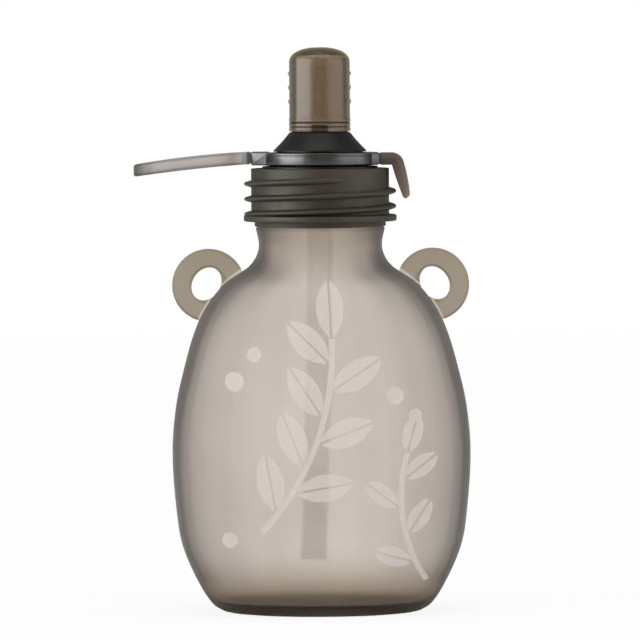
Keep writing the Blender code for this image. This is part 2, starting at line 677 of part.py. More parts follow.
def main():
    """Build every piece of the pouch."""
    clear_scene()
    frosted = make_material("frosted_silicone", (0.52, 0.47, 0.41), 0.45, 0.75)
    collar = make_material("collar_plastic", (0.075, 0.066, 0.056), 0.4)
    lid = make_material("lid_plastic", (0.03, 0.027, 0.021), 0.35)
    soft_dark = make_material("dark_silicone", (0.06, 0.055, 0.048), 0.3)
    soft_taupe = make_material("taupe_silicone", (0.42, 0.37, 0.32), 0.4, 0.85)
    tinted = make_material("tinted_plastic", (0.17, 0.13, 0.09), 0.3, 0.7)
    build_bag(frosted)
    build_collar(collar)
    build_lid(lid)
    build_seal(soft_dark)
    build_strap_ring(soft_dark)
    build_finger_loop(soft_taupe)
    build_pull_tab(soft_dark)
    build_spout(soft_taupe)
    build_cap(tinted)
    build_straw(frosted)


main()
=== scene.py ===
"""Looks of a reusable silicone food pouch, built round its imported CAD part.

In the part's own frame +Z is up, the broad front faces -Y, the finger loop is on -X and the pull tab on
+X. Each sub-assembly is a class that models its pieces, dresses them in its finishes and sets them
riding on the CAD bodies. Sizes of the sub-assemblies are in millimetres. Meshes, finishes, lamps and
the camera are in metres.
"""

from __future__ import annotations

import logging
import math
from collections.abc import Callable, Iterator, Sequence
from contextlib import contextmanager
from dataclasses import dataclass, field
from enum import Enum

import bmesh
import bpy
from mathutils import Matrix, Quaternion, Vector


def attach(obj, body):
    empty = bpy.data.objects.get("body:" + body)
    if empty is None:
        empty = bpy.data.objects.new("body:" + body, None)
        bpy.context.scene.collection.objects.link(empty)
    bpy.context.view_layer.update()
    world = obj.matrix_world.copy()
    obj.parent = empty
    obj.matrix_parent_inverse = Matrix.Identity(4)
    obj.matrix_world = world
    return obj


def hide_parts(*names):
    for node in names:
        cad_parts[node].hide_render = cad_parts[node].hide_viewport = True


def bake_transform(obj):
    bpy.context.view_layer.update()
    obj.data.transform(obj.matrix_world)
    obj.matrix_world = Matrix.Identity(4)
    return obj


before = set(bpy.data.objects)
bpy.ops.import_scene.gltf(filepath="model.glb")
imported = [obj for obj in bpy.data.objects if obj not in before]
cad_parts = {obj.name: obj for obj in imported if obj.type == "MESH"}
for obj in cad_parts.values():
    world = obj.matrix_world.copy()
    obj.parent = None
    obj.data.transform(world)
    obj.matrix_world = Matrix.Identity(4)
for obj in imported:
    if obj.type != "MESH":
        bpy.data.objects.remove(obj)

LOG = logging.getLogger("pouch")
MM = 0.001
POLE = 0.004 * MM
WELD = 0.009 * MM
SHADE = "shade"
GLOSS = "gloss"
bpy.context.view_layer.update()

Colour = tuple[float, float, float]
Point = tuple[float, float]
Corner = tuple[float, float, float]
Place = tuple[float, float, float]


class Body(Enum):
    """The moving bodies of the part."""

    POUCH = "pouch"
    LID = "lid"
    CAP = "cap"
    LOOP = "loop"
    TAB = "tab"


class Slot(Enum):
    """The material slots of the part's record."""

    BAG = "bag_silicone"
    COLLAR = "collar_plastic"
    LID = "lid_plastic"
    DARK = "dark_silicone"
    LOOP = "loop_silicone"
    TAB = "tab_silicone"
    CAP = "cap_plastic"


def activate(item: bpy.types.Object) -> None:
    """Select one object alone and make it the active one."""
    bpy.ops.object.select_all(action="DESELECT")
    item.select_set(True)
    bpy.context.view_layer.objects.active = item


@contextmanager
def editing(item: bpy.types.Object, everything: bool = False) -> Iterator[None]:
    """Hold one object in edit mode, with its vertices as they were selected.

    Args:
        item: The object to edit.
        everything: True to select all of it first.
    """
    activate(item)
    bpy.ops.object.mode_set(mode="EDIT")
    bpy.ops.mesh.select_mode(type="VERT")
    if everything:
        bpy.ops.mesh.select_all(action="SELECT")
    try:
        yield
    finally:
        bpy.ops.object.mode_set(mode="OBJECT")


def pick_verts(item: bpy.types.Object, test: Callable[[Vector], bool]) -> None:
    """Select the vertices of an edited object by their place.

    Args:
        item: The object in edit mode.
        test: Says whether a place is wanted.
    """
    bm = bmesh.from_edit_mesh(item.data)
    for vert in bm.verts:
        vert.select = test(vert.co)
    bm.select_flush_mode()
    bmesh.update_edit_mesh(item.data)


def pick_edges(item: bpy.types.Object, test: Callable[[Vector], bool], angle: float) -> None:
    """Select the sharp edges of an edited object by the place of their middle.

    Args:
        item: The object in edit mode.
        test: Says whether a middle point is wanted.
        angle: The least angle between an edge's faces, in degrees.
    """
    bpy.ops.mesh.select_mode(type="EDGE")
    bm = bmesh.from_edit_mesh(item.data)
    for edge in bm.edges:
        middle = (edge.verts[0].co + edge.verts[1].co) / 2
        sharp = edge.is_boundary or edge.calc_face_angle(0.0) >= math.radians(angle)
        edge.select_set(sharp and test(middle))
    bmesh.update_edit_mesh(item.data)


def settle(name: str) -> bpy.types.Object:
    """Name the newest primitive and put its place into its mesh.

    Args:
        name: The piece's name.

    Returns:
        The object, at the origin, unturned and unscaled.
    """
    item = bpy.context.active_object
    item.name = item.data.name = name
    bpy.ops.object.transform_apply(location=True, rotation=True, scale=True)
    return item


def add_ring(name: str, radius: float, height: float, sides: int) -> bpy.types.Object:
    """Add an open ring of points about the Z axis.

    Args:
        name: The piece's name.
        radius: The ring's radius.
        height: The ring's height.
        sides: How many points it has.

    Returns:
        The new object.
    """
    bpy.ops.object.select_all(action="DESELECT")
    bpy.ops.mesh.primitive_circle_add(vertices=sides, radius=radius, location=(0.0, 0.0, height))
    return settle(name)


def add_block(name: str, low: Place, high: Place) -> bpy.types.Object:
    """Add a box between two corners.

    Args:
        name: The piece's name.
        low: The lowest corner.
        high: The highest corner.

    Returns:
        The new object.
    """
    bpy.ops.object.select_all(action="DESELECT")
    middle = [(a + b) / 2 for a, b in zip(low, high)]
    size = [b - a for a, b in zip(low, high)]
    bpy.ops.mesh.primitive_cube_add(size=1.0, location=middle, scale=size)
    return settle(name)


def grow_ring(rise: float, ratio_x: float, ratio_y: float, height: float) -> None:
    """Extrude the selected ring upwards and resize the new one about the Z axis.

    Args:
        rise: How far the new ring stands above the last.
        ratio_x: Its width against the last.
        ratio_y: Its depth against the last.
        height: Its own height.
    """
    bpy.ops.mesh.extrude_region_move(TRANSFORM_OT_translate={"value": (0.0, 0.0, rise)})
    bpy.ops.transform.resize(value=(ratio_x, ratio_y, 1.0), center_override=(0.0, 0.0, height))


def tidy_skin() -> None:
    """Merge the seams and poles of the edited mesh and turn its faces outwards."""
    bpy.ops.mesh.select_mode(type="VERT")
    bpy.ops.mesh.select_all(action="SELECT")
    bpy.ops.mesh.remove_doubles(threshold=WELD)
    bpy.ops.mesh.normals_make_consistent(inside=False)


def turned(name: str, profile: Sequence[Point], sides: int, closed: bool = True) -> bpy.types.Object:
    """Turn a piece as on a lathe, ring by ring along its profile.

    Args:
        name: The piece's name.
        profile: Radius and height of each ring in millimetres. A radius of 0 is a pole.
        sides: How many sides the piece has.
        closed: True if the last ring joins the first.

    Returns:
        The new object.
    """
    rings = [(max(radius * MM, POLE), height * MM) for radius, height in profile]
    item = add_ring(name, rings[0][0], rings[0][1], sides)
    with editing(item, everything=True):
        for before, after in zip(rings, rings[1:] + (rings[:1] if closed else [])):
            ratio = after[0] / before[0]
            grow_ring(after[1] - before[1], ratio, ratio, after[1])
        tidy_skin()
    return item


def lofted(name: str, ovals: Sequence[Corner], sides: int) -> bpy.types.Object:
    """Loft a closed skin through oval rings.

    Args:
        name: The piece's name.
        ovals: Height, half width and half depth of each ring in millimetres, with a pole at each end.
        sides: How many sides the skin has.

    Returns:
        The new object.
    """
    rings = [(z * MM, wide * MM, deep * MM) for z, wide, deep in ovals]
    item = add_ring(name, 1.0, rings[0][0], sides)
    with editing(item, everything=True):
        first = (rings[0][1], rings[0][2], 1.0)
        bpy.ops.transform.resize(value=first, center_override=(0.0, 0.0, rings[0][0]))
        for before, after in zip(rings, rings[1:]):
            grow_ring(after[0] - before[0], after[1] / before[1], after[2] / before[2], after[0])
        tidy_skin()
    return item


@dataclass(frozen=True)
class BarSection:
    """A bar's cross-section in millimetres: flat with rounded corners, and crowned on top if asked."""

    half_width: float
    low: float
    high: float
    fillet: float
    crown: float = 0.0

    def blunt_end(self, place: float, way: float) -> list[Corner]:
        """Return the two sections that round a blunt end.

        Args:
            place: Where the end's face lies.
            way: 1 or -1, the way in which the bar goes on from there.
        """
        rows = []
        for step, share in ((0.0, 0.6), (0.12, 0.15)):
            inset = self.fillet * share
            thick = 1.0 - 2 * inset / (self.high - self.low)
            rows.append((place + way * step, 1.0 - inset / self.half_width, thick))
        return rows


def drawn_bar(name: str, section: BarSection, stations: Sequence[Corner]) -> bpy.types.Object:
    """Draw a bar along the X axis, section by section.

    Args:
        name: The piece's name.
        section: The full cross-section.
        stations: Place in millimetres, width ratio and thickness ratio of each section.

    Returns:
        The new object.
    """
    bpy.ops.object.select_all(action="DESELECT")
    bpy.ops.mesh.primitive_plane_add(size=1.0, rotation=(0.0, math.pi / 2, 0.0))
    item = settle(name)
    half, high, fillet = section.half_width * MM, section.high * MM, section.fillet * MM
    middle = (section.low + section.high) / 2 * MM
    rows = [(x * MM, wide, thick) for x, wide, thick in stations]
    x, wide, thick = rows[0]
    with editing(item, everything=True):
        size = (1.0, 2 * half, high - section.low * MM)
        bpy.ops.transform.resize(value=size, center_override=(0.0, 0.0, 0.0))
        bpy.ops.transform.translate(value=(x, 0.0, middle))
        bpy.ops.mesh.bevel(offset=fillet, segments=4, affect="VERTICES")
        pick_edges(item, lambda spot: spot.z > high - 0.001 * MM, 0.0)
        bpy.ops.mesh.subdivide(number_cuts=13)
    for vert in item.data.vertices:
        if vert.co.z > high - fillet:
            vert.co.z += section.crown * MM * (1.0 - (vert.co.y / half) ** 2)
    with editing(item, everything=True):
        bpy.ops.transform.resize(value=(1.0, wide, thick), center_override=(x, 0.0, middle))
        for after in rows[1:]:
            bpy.ops.mesh.extrude_region_move(TRANSFORM_OT_translate={"value": (after[0] - x, 0.0, 0.0)})
            ratio = (1.0, after[1] / wide, after[2] / thick)
            bpy.ops.transform.resize(value=ratio, center_override=(after[0], 0.0, middle))
            x, wide, thick = after
        bpy.ops.mesh.select_all(action="SELECT")
        bpy.ops.mesh.normals_make_consistent(inside=False)
    return item


def rounded(corners: Sequence[Corner], steps: int = 4, closed: bool = True) -> list[Point]:
    """Round the corners of a profile.

    Args:
        corners: Radius, height and fillet radius of each corner. A fillet of 0 stays sharp.
        steps: How many spans each fillet has.
        closed: True if the last corner joins the first.

    Returns:
        Radius and height of each point.
    """
    points: list[Point] = []
    count = len(corners)
    for i, (x, y, fillet) in enumerate(corners):
        at_end = not closed and i in (0, count - 1)
        if fillet <= 0.0 or at_end:
            points.append((x, y))
            continue
        here = Vector((x, y))
        back = Vector(corners[i - 1][:2]) - here
        ahead = Vector(corners[(i + 1) % count][:2]) - here
        half = back.angle(ahead) / 2
        reach = min(fillet / math.tan(half), 0.48 * back.length, 0.48 * ahead.length)
        start, end = here + back.normalized() * reach, here + ahead.normalized() * reach
        for step in range(steps + 1):
            share = step / steps
            spot = start * (1 - share) ** 2 + here * 2 * share * (1 - share) + end * share**2
            points.append((spot.x, spot.y))
    return points


def apply_modifier(item: bpy.types.Object, kind: str, **settings: object) -> None:
    """Add a modifier to an object and apply it.

    Args:
        item: The object.
        kind: The modifier's type.
        settings: Its settings by name.
    """
    activate(item)
    modifier = item.modifiers.new(kind.lower(), kind)
    for key, value in settings.items():
        setattr(modifier, key, value)
    bpy.ops.object.modifier_apply(modifier=modifier.name)


def combine(item: bpy.types.Object, other: bpy.types.Object, operation: str) -> None:
    """Join another solid to an object or cut it out, and remove the other.

    Args:
        item: The object that stays.
        other: The solid that is used up.
        operation: UNION or DIFFERENCE.
    """
    apply_modifier(item, "BOOLEAN", operation=operation, solver="EXACT", object=other)
    bpy.data.objects.remove(other, do_unlink=True)


def paint(item: bpy.types.Object, name: str, share: Callable[[Vector], float]) -> None:
    """Store how much of its colour or gloss each point of a piece keeps.

    Args:
        item: The piece, before it is bent.
        name: The attribute that takes the shares.
        share: Gives the share for a place.
    """
    layer = item.data.attributes.new(name, "FLOAT", "POINT")
    for vert in item.data.vertices:
        layer.data[vert.index].value = share(vert.co)


def eased(value: float, start: float, end: float) -> float:
    """Return how far a value has come from a start to an end, eased at both, from 0 to 1."""
    share = min(max((value - start) / (end - start), 0.0), 1.0)
    return share * share * (3 - 2 * share)


def soften(item: bpy.types.Object, angle: float) -> None:
    """Shade an object smooth, with creases where its faces turn by an angle in degrees or more."""
    activate(item)
    bpy.ops.object.shade_smooth_by_angle(angle=math.radians(angle))


class Nodes:
    """A node tree, written one node at a time."""

    def __init__(self, tree: bpy.types.NodeTree) -> None:
        """Take the tree to write."""
        self.tree = tree

    def add(self, kind: str, **settings: object) -> bpy.types.Node:
        """Add a node and set its properties.

        Args:
            kind: The node's type.
            settings: Its properties by name.

        Returns:
            The node.
        """
        node = self.tree.nodes.new(kind)
        for key, value in settings.items():
            setattr(node, key, value)
        return node

    def feed(self, socket: bpy.types.NodeSocket, value: object) -> None:
        """Link a socket to another node's output, or set its value."""
        if isinstance(value, bpy.types.NodeSocket):
            self.tree.links.new(value, socket)
        else:
            socket.default_value = value

    def sum(self, operation: str, *values: object) -> bpy.types.NodeSocket:
        """Work one sum on numbers.

        Args:
            operation: The sum's name.
            values: Numbers or sockets.

        Returns:
            The result's socket.
        """
        node = self.add("ShaderNodeMath", operation=operation)
        for socket, value in zip(node.inputs, values):
            self.feed(socket, value)
        return node.outputs[0]

    def ramp(
        self, value: bpy.types.NodeSocket, span: Point, ends: Point, smooth: bool = False
    ) -> bpy.types.NodeSocket:
        """Map a span of a value onto two numbers, which hold on beyond it.

        Args:
            value: The value's socket.
            span: Where the change starts and ends.
            ends: The numbers at its start and end.
            smooth: True to ease the change.

        Returns:
            The result's socket.
        """
        node = self.add("ShaderNodeMapRange", interpolation_type="SMOOTHSTEP" if smooth else "LINEAR")
        self.feed(node.inputs["Value"], value)
        for name, number in zip(("From Min", "From Max", "To Min", "To Max"), span + ends):
            node.inputs[name].default_value = number
        return node.outputs["Result"]

    def distance(self, spot: bpy.types.NodeSocket, x: float = 0.0, z: float = 0.0) -> bpy.types.NodeSocket:
        """Return how far a place lies from a point at depth 0."""
        node = self.add("ShaderNodeVectorMath", operation="DISTANCE")
        self.feed(node.inputs[0], spot)
        node.inputs[1].default_value = (x, 0.0, z)
        return node.outputs["Value"]


class Recipe(Nodes):
    """A material's node tree, which starts with its plain shader."""

    def __init__(self, name: str) -> None:
        """Start a new material."""
        self.material = bpy.data.materials.new(name)
        self.material.use_nodes = True
        super().__init__(self.material.node_tree)
        self.shader = self.tree.nodes["Principled BSDF"]
        self.output = self.tree.nodes["Material Output"]
        self.place = self.add("ShaderNodeTexCoord").outputs["Object"]

    def axis(self, name: str) -> bpy.types.NodeSocket:
        """Return one coordinate, X, Y or Z, of the place that is shaded."""
        node = self.add("ShaderNodeSeparateXYZ")
        self.feed(node.inputs[0], self.place)
        return node.outputs[name]

    def flat(self, x: bpy.types.NodeSocket, z: bpy.types.NodeSocket) -> bpy.types.NodeSocket:
        """Join two numbers into a place at depth 0."""
        node = self.add("ShaderNodeCombineXYZ")
        self.feed(node.inputs["X"], x)
        self.feed(node.inputs["Z"], z)
        return node.outputs[0]

    def noise(self, scale: float, detail: float, stretch: Place = (1.0, 1.0, 1.0)) -> bpy.types.NodeSocket:
        """Return a cloudy pattern from 0 to 1.

        Args:
            scale: Clouds per metre.
            detail: How much finer noise lies on the clouds.
            stretch: How each axis is scaled first.
        """
        mapping = self.add("ShaderNodeMapping")
        self.feed(mapping.inputs["Vector"], self.place)
        mapping.inputs["Scale"].default_value = stretch
        node = self.add("ShaderNodeTexNoise")
        self.feed(node.inputs["Vector"], mapping.outputs[0])
        node.inputs["Scale"].default_value = scale
        node.inputs["Detail"].default_value = detail
        return node.outputs["Fac"]

    def spread(self, value: bpy.types.NodeSocket, low: float, high: float) -> bpy.types.NodeSocket:
        """Map a pattern's middle range onto two numbers."""
        return self.ramp(value, (0.3, 0.7), (low, high))

    def blend(self, share: object, first: object, second: object) -> bpy.types.NodeSocket:
        """Mix two colours.

        Args:
            share: How much of the second shows, 0 to 1.
            first: A colour or socket.
            second: A colour or socket.

        Returns:
            The mixed colour's socket.
        """
        # A colour mix takes its share in input 0 and its colours in 6 and 7, and gives output 2.
        node = self.add("ShaderNodeMix", data_type="RGBA")
        self.feed(node.inputs[0], share)
        for socket, value in zip((node.inputs[6], node.inputs[7]), (first, second)):
            self.feed(socket, value if isinstance(value, bpy.types.NodeSocket) else (*value, 1.0))
        return node.outputs[2]

    def relief(self, height: bpy.types.NodeSocket, strength: float, depth: float) -> None:
        """Give the surface a fine relief."""
        bump = self.add("ShaderNodeBump")
        bump.inputs["Strength"].default_value = strength
        bump.inputs["Distance"].default_value = depth
        self.feed(bump.inputs["Height"], height)
        self.feed(self.shader.inputs["Normal"], bump.outputs[0])

    def set(self, **values: object) -> None:
        """Set or link the shader's own sockets, whose names are given with _ for a space."""
        for key, value in values.items():
            self.feed(self.shader.inputs[key.replace("_", " ")], value)


@dataclass(frozen=True)
class Leaf:
    """One printed leaf: its middle, direction and size on the bag's front."""

    x: float
    z: float
    turn: float
    length: float
    width: float


@dataclass(frozen=True)
class Stem:
    """One printed stem: part of a circle's line, kept near one middle point."""

    x: float
    z: float
    radius: float
    near_x: float
    near_z: float
    reach: float


@dataclass(frozen=True)
class Print:
    """The pale leaf design printed on the bag's front."""

    leaves: tuple[Leaf, ...]
    stems: tuple[Stem, ...]
    berries: tuple[tuple[float, float, float], ...]
    line: float = 1.6 * MM
    rib: float = 0.55 * MM
    edge: float = 0.12 * MM

    def fade(self, recipe: Recipe, inside: bpy.types.NodeSocket) -> bpy.types.NodeSocket:
        """Turn a distance, positive inside a form, into a mask with a crisp edge."""
        return recipe.ramp(inside, (-self.edge, self.edge), (0.0, 1.0))

    def leaf_mask(self, recipe: Recipe, flat: bpy.types.NodeSocket, leaf: Leaf) -> bpy.types.NodeSocket:
        """Return a leaf between two arcs, with a bare rib down its middle."""
        half, belly = leaf.length / 2, leaf.width / 2
        radius = (half**2 + belly**2) / (2 * belly)
        shift = radius - belly
        aside = (-math.sin(leaf.turn) * shift, math.cos(leaf.turn) * shift)
        one = recipe.distance(flat, leaf.x + aside[0], leaf.z + aside[1])
        two = recipe.distance(flat, leaf.x - aside[0], leaf.z - aside[1])
        form = self.fade(recipe, recipe.sum("SUBTRACT", radius, recipe.sum("MAXIMUM", one, two)))
        gap = recipe.sum("ABSOLUTE", recipe.sum("SUBTRACT", one, two))
        rib = self.fade(recipe, recipe.sum("SUBTRACT", gap, self.rib))
        return recipe.sum("MULTIPLY", form, rib)

    def stem_mask(self, recipe: Recipe, flat: bpy.types.NodeSocket, stem: Stem) -> bpy.types.NodeSocket:
        """Return a curved line that ends at a set distance from its middle."""
        away = recipe.distance(flat, stem.x, stem.z)
        off = recipe.sum("ABSOLUTE", recipe.sum("SUBTRACT", away, stem.radius))
        line = self.fade(recipe, recipe.sum("SUBTRACT", self.line / 2, off))
        near = recipe.distance(flat, stem.near_x, stem.near_z)
        return recipe.sum("MULTIPLY", line, self.fade(recipe, recipe.sum("SUBTRACT", stem.reach, near)))

    def mask(self, recipe: Recipe) -> bpy.types.NodeSocket:
        """Return the whole design as a mask on the bag's front.

        Args:
            recipe: The bag's material.

        Returns:
            A socket that is 1 where the print lies.
        """
        flat = recipe.flat(recipe.axis("X"), recipe.axis("Z"))
        masks = [self.leaf_mask(recipe, flat, leaf) for leaf in self.leaves]
        masks += [self.stem_mask(recipe, flat, stem) for stem in self.stems]
        for x, z, radius in self.berries:
            masks.append(self.fade(recipe, recipe.sum("SUBTRACT", radius, recipe.distance(flat, x, z))))
        whole = masks[0]
        for mask in masks[1:]:
            whole = recipe.sum("MAXIMUM", whole, mask)
        return recipe.sum("MULTIPLY", whole, recipe.sum("LESS_THAN", recipe.axis("Y"), 0.0))


@dataclass(frozen=True)
class ShoulderLoopShade:
    """Painted shade on the two shoulder loops: their solid silicone is painted darker, most of all along its
    rims.

    The bag's own skin ends at a circle round each shoulder, which keeps the painted shade off it.
    """

    x: float = 31.45 * MM
    z: float = 91.8 * MM
    radius: float = 10.2 * MM
    hole: float = 4.9 * MM
    half: float = 2.0 * MM
    edge: float = 0.9 * MM
    margin: float = 0.3 * MM
    # Painted shade: the share of colour kept on the loops' faces, and on their rims.
    body: float = 0.36
    rim: float = 0.15
    shoulder: Point = (3.8 * MM, 68.1 * MM)
    shoulder_radius: float = 33.9 * MM

    def shade(self, recipe: Recipe) -> bpy.types.NodeSocket:
        """Return how much of the colour is kept, 1 away from the loops."""
        aside = recipe.flat(recipe.sum("ABSOLUTE", recipe.axis("X")), recipe.axis("Z"))
        off = recipe.distance(aside, self.x, self.z)
        from_shoulder = recipe.distance(aside, *self.shoulder)
        thin = recipe.sum("LESS_THAN", recipe.sum("ABSOLUTE", recipe.axis("Y")), self.half)
        near = recipe.sum("LESS_THAN", off, self.radius + self.margin)
        clear = recipe.sum("GREATER_THAN", from_shoulder, self.shoulder_radius)
        inside = recipe.sum("MULTIPLY", recipe.sum("MULTIPLY", thin, near), clear)
        middle, reach = (self.radius + self.hole) / 2, (self.radius - self.hole) / 2
        from_middle = recipe.sum("ABSOLUTE", recipe.sum("SUBTRACT", off, middle))
        kept = recipe.ramp(from_middle, (reach - self.edge, reach), (self.body, self.rim), smooth=True)
        lost = recipe.sum("SUBTRACT", 1.0, kept)
        return recipe.sum("SUBTRACT", 1.0, recipe.sum("MULTIPLY", inside, lost))


@dataclass(frozen=True)
class PaintedBand:
    """A level band of painted shade, or of painted highlight where it keeps more colour than the surface
    above and below it.
    """

    height: float
    reach: float
    kept: float
    full: float = 1.0

    def shade(self, recipe: Recipe) -> bpy.types.NodeSocket:
        """Return how much of the colour is kept at each height."""
        off = recipe.sum("ABSOLUTE", recipe.sum("SUBTRACT", recipe.axis("Z"), self.height * MM))
        return recipe.ramp(off, (0.0, self.reach * MM), (self.kept, self.full), smooth=True)


@dataclass(frozen=True)
class Silicone:
    """Soft silicone: milky, frosted and darker where it is thick, under a satin skin."""

    name: str
    colour: Colour
    clearness: float
    roughness: float
    dark_colour: Colour
    density: float
    ior: float = 1.05
    skin: float = 1.0
    skin_roughness: float = 0.38
    grain: float = 0.06
    # Painted shade: the shoulder loops, the level bands and the shade attribute darken the colour towards the
    # shaded colour.
    rims: ShoulderLoopShade | None = None
    painted_bands: tuple[PaintedBand, ...] = ()
    shaded: Colour = (0.0, 0.0, 0.0)
    painted: tuple[str, ...] = ()
    design: Print | None = None
    design_colour: Colour = (0.86, 0.80, 0.76)
    ink: float = 0.4

    def material(self) -> bpy.types.Material:
        """Return the finish as a material."""
        recipe = Recipe(self.name)
        cloud = recipe.noise(38.0, 3.0)
        shade = tuple(channel * 0.93 for channel in self.colour)
        colour = recipe.blend(recipe.spread(cloud, 0.0, 1.0), shade, self.colour)
        rough = recipe.spread(recipe.noise(210.0, 3.0), self.roughness - 0.05, self.roughness + 0.05)
        clear: object = self.clearness
        # Painted shade: bands, shoulder loops and the shade attribute blend the colour towards the shaded
        # colour; a band that keeps more than the surface round it is a painted highlight.
        shades = [stripe.shade(recipe) for stripe in self.painted_bands]
        if self.rims is not None:
            shades.append(self.rims.shade(recipe))
        layers = [recipe.add("ShaderNodeAttribute", attribute_name=name) for name in self.painted]
        painted = {layer.attribute_name: layer.outputs["Fac"] for layer in layers}
        if SHADE in painted:
            shades.append(painted[SHADE])
        for kept in shades:
            colour = recipe.blend(recipe.sum("SUBTRACT", 1.0, kept), colour, self.shaded)
        if self.design is not None:
            mask = self.design.mask(recipe)
            colour = recipe.blend(mask, colour, self.design_colour)
            bare = recipe.sum("SUBTRACT", 1.0, recipe.sum("MULTIPLY", mask, self.ink))
            clear = recipe.sum("MULTIPLY", bare, clear)
        recipe.set(Base_Color=colour, Roughness=rough, Transmission_Weight=clear, IOR=self.ior)
        skin = recipe.sum("MULTIPLY", painted[GLOSS], self.skin) if GLOSS in painted else self.skin
        recipe.set(Coat_Weight=skin, Coat_Roughness=self.skin_roughness, Coat_IOR=1.41)
        recipe.relief(recipe.noise(2600.0, 2.0), self.grain, 0.05 * MM)
        body = recipe.add("ShaderNodeVolumeAbsorption")
        body.inputs["Color"].default_value = (*self.dark_colour, 1.0)
        body.inputs["Density"].default_value = self.density
        recipe.feed(recipe.output.inputs["Volume"], body.outputs[0])
        return recipe.material


@dataclass(frozen=True)
class Moulded:
    """Rigid moulded plastic with a fine satin grain."""

    name: str
    colour: Colour
    roughness: float
    shine: float = 0.5
    grain: float = 0.12

    def material(self) -> bpy.types.Material:
        """Return the finish as a material."""
        recipe = Recipe(self.name)
        flow = recipe.noise(70.0, 4.0, (1.0, 1.0, 0.35))
        pale = tuple(channel * 1.22 + 0.002 for channel in self.colour)
        colour = recipe.blend(recipe.spread(flow, 0.0, 1.0), self.colour, pale)
        rough = recipe.spread(recipe.noise(480.0, 3.0), self.roughness - 0.05, self.roughness + 0.06)
        recipe.set(Base_Color=colour, Roughness=rough, Specular_IOR_Level=self.shine, IOR=1.49)
        recipe.relief(recipe.noise(3400.0, 2.0), self.grain, 0.03 * MM)
        return recipe.material


@dataclass(frozen=True)
class Paper:
    """The studio's pale floor, white to the camera, with the object's soft shadow."""

    name: str = "studio_paper"
    colour: Colour = (0.86, 0.86, 0.86)
    glow: float = 0.88
    near: float = 0.35
    far: float = 1.6
    contact: float = 0.4
    foot: Point = (26.3 * MM, 17.3 * MM)

    def material(self) -> bpy.types.Material:
        """Return the finish as a material."""
        recipe = Recipe(self.name)
        fibre = recipe.noise(900.0, 3.0)
        shade = tuple(channel * 0.985 for channel in self.colour)
        recipe.set(Base_Color=recipe.blend(fibre, shade, self.colour), Roughness=0.9, Specular_IOR_Level=0.1)
        ray = recipe.add("ShaderNodeLightPath")
        seen = recipe.sum("MAXIMUM", ray.outputs["Is Camera Ray"], ray.outputs["Is Transmission Ray"])
        glow = recipe.add("ShaderNodeEmission")
        glow.inputs["Color"].default_value = (1.0, 1.0, 1.0, 1.0)
        across = recipe.add("ShaderNodeVectorMath", operation="MULTIPLY")
        recipe.feed(across.inputs[0], recipe.place)
        across.inputs[1].default_value = (1 / self.foot[0], 1 / self.foot[1], 1.0)
        sheet = recipe.ramp(recipe.distance(recipe.place), (self.near, self.far), (self.glow, 1.0))
        under = recipe.ramp(recipe.distance(across.outputs[0]), (0.9, 1.03), (self.contact, 1.0))
        mix = recipe.add("ShaderNodeMixShader")
        recipe.feed(mix.inputs[0], recipe.sum("MULTIPLY", seen, recipe.sum("MINIMUM", sheet, under)))
        recipe.feed(mix.inputs[1], recipe.shader.outputs[0])
        recipe.feed(mix.inputs[2], glow.outputs[0])
        recipe.feed(recipe.output.inputs["Surface"], mix.outputs[0])
        return recipe.material


@dataclass(frozen=True)
class Sprig:
    """A stem on a circle's arc, with leaves to its left and right in turn."""

    x: float
    z: float
    radius: float
    first: float
    last: float
    count: int
    length: float
    width: float
    lean: float = math.radians(48.0)

    def leaves(self) -> tuple[Leaf, ...]:
        """Return the sprig's leaves, the last one at its tip."""
        found = []
        sweep = math.copysign(math.pi / 2, self.last - self.first)
        for i in range(self.count):
            angle = self.first + (self.last - self.first) * i / (self.count - 1)
            lean = 0.0 if i == self.count - 1 else self.lean * (-1) ** i
            turn = angle + sweep + lean
            ahead = self.length * 0.5 + (0.0 if lean == 0.0 else 1.0)
            x = self.x + self.radius * math.cos(angle) + ahead * math.cos(turn)
            z = self.z + self.radius * math.sin(angle) + ahead * math.sin(turn)
            found.append(Leaf(x * MM, z * MM, turn, self.length * MM, self.width * MM))
        return tuple(found)

    def stem(self) -> Stem:
        """Return the sprig's stem, with a bare stalk below the first leaf."""
        stalk = math.copysign(6.0 / self.radius, self.last - self.first)
        middle = (self.first - stalk + self.last) / 2
        near_x = self.x + self.radius * math.cos(middle)
        near_z = self.z + self.radius * math.sin(middle)
        reach = 2 * self.radius * math.sin(abs(self.last - self.first + stalk) / 4)
        return Stem(self.x * MM, self.z * MM, self.radius * MM, near_x * MM, near_z * MM, reach * MM)


TALL = Sprig(
    x=-70.0,
    z=74.0,
    radius=73.0,
    first=math.radians(-38.0),
    last=math.radians(3.0),
    count=8,
    length=16.5,
    width=7.6,
)
SMALL = Sprig(
    x=66.0,
    z=34.0,
    radius=44.0,
    first=math.radians(205.0),
    last=math.radians(164.0),
    count=5,
    length=11.5,
    width=5.6,
)
# Each berry's place along X and Z and its radius, in millimetres.
BERRIES = ((-24.0, 66.0, 2.7), (-18.5, 73.5, 2.0), (20.5, 62.0, 2.4), (26.0, 56.5, 1.8), (-25.5, 22.0, 2.2))
LEAF_PRINT = Print(
    leaves=TALL.leaves() + SMALL.leaves(),
    stems=(TALL.stem(), SMALL.stem()),
    berries=tuple((x * MM, z * MM, radius * MM) for x, z, radius in BERRIES),
)

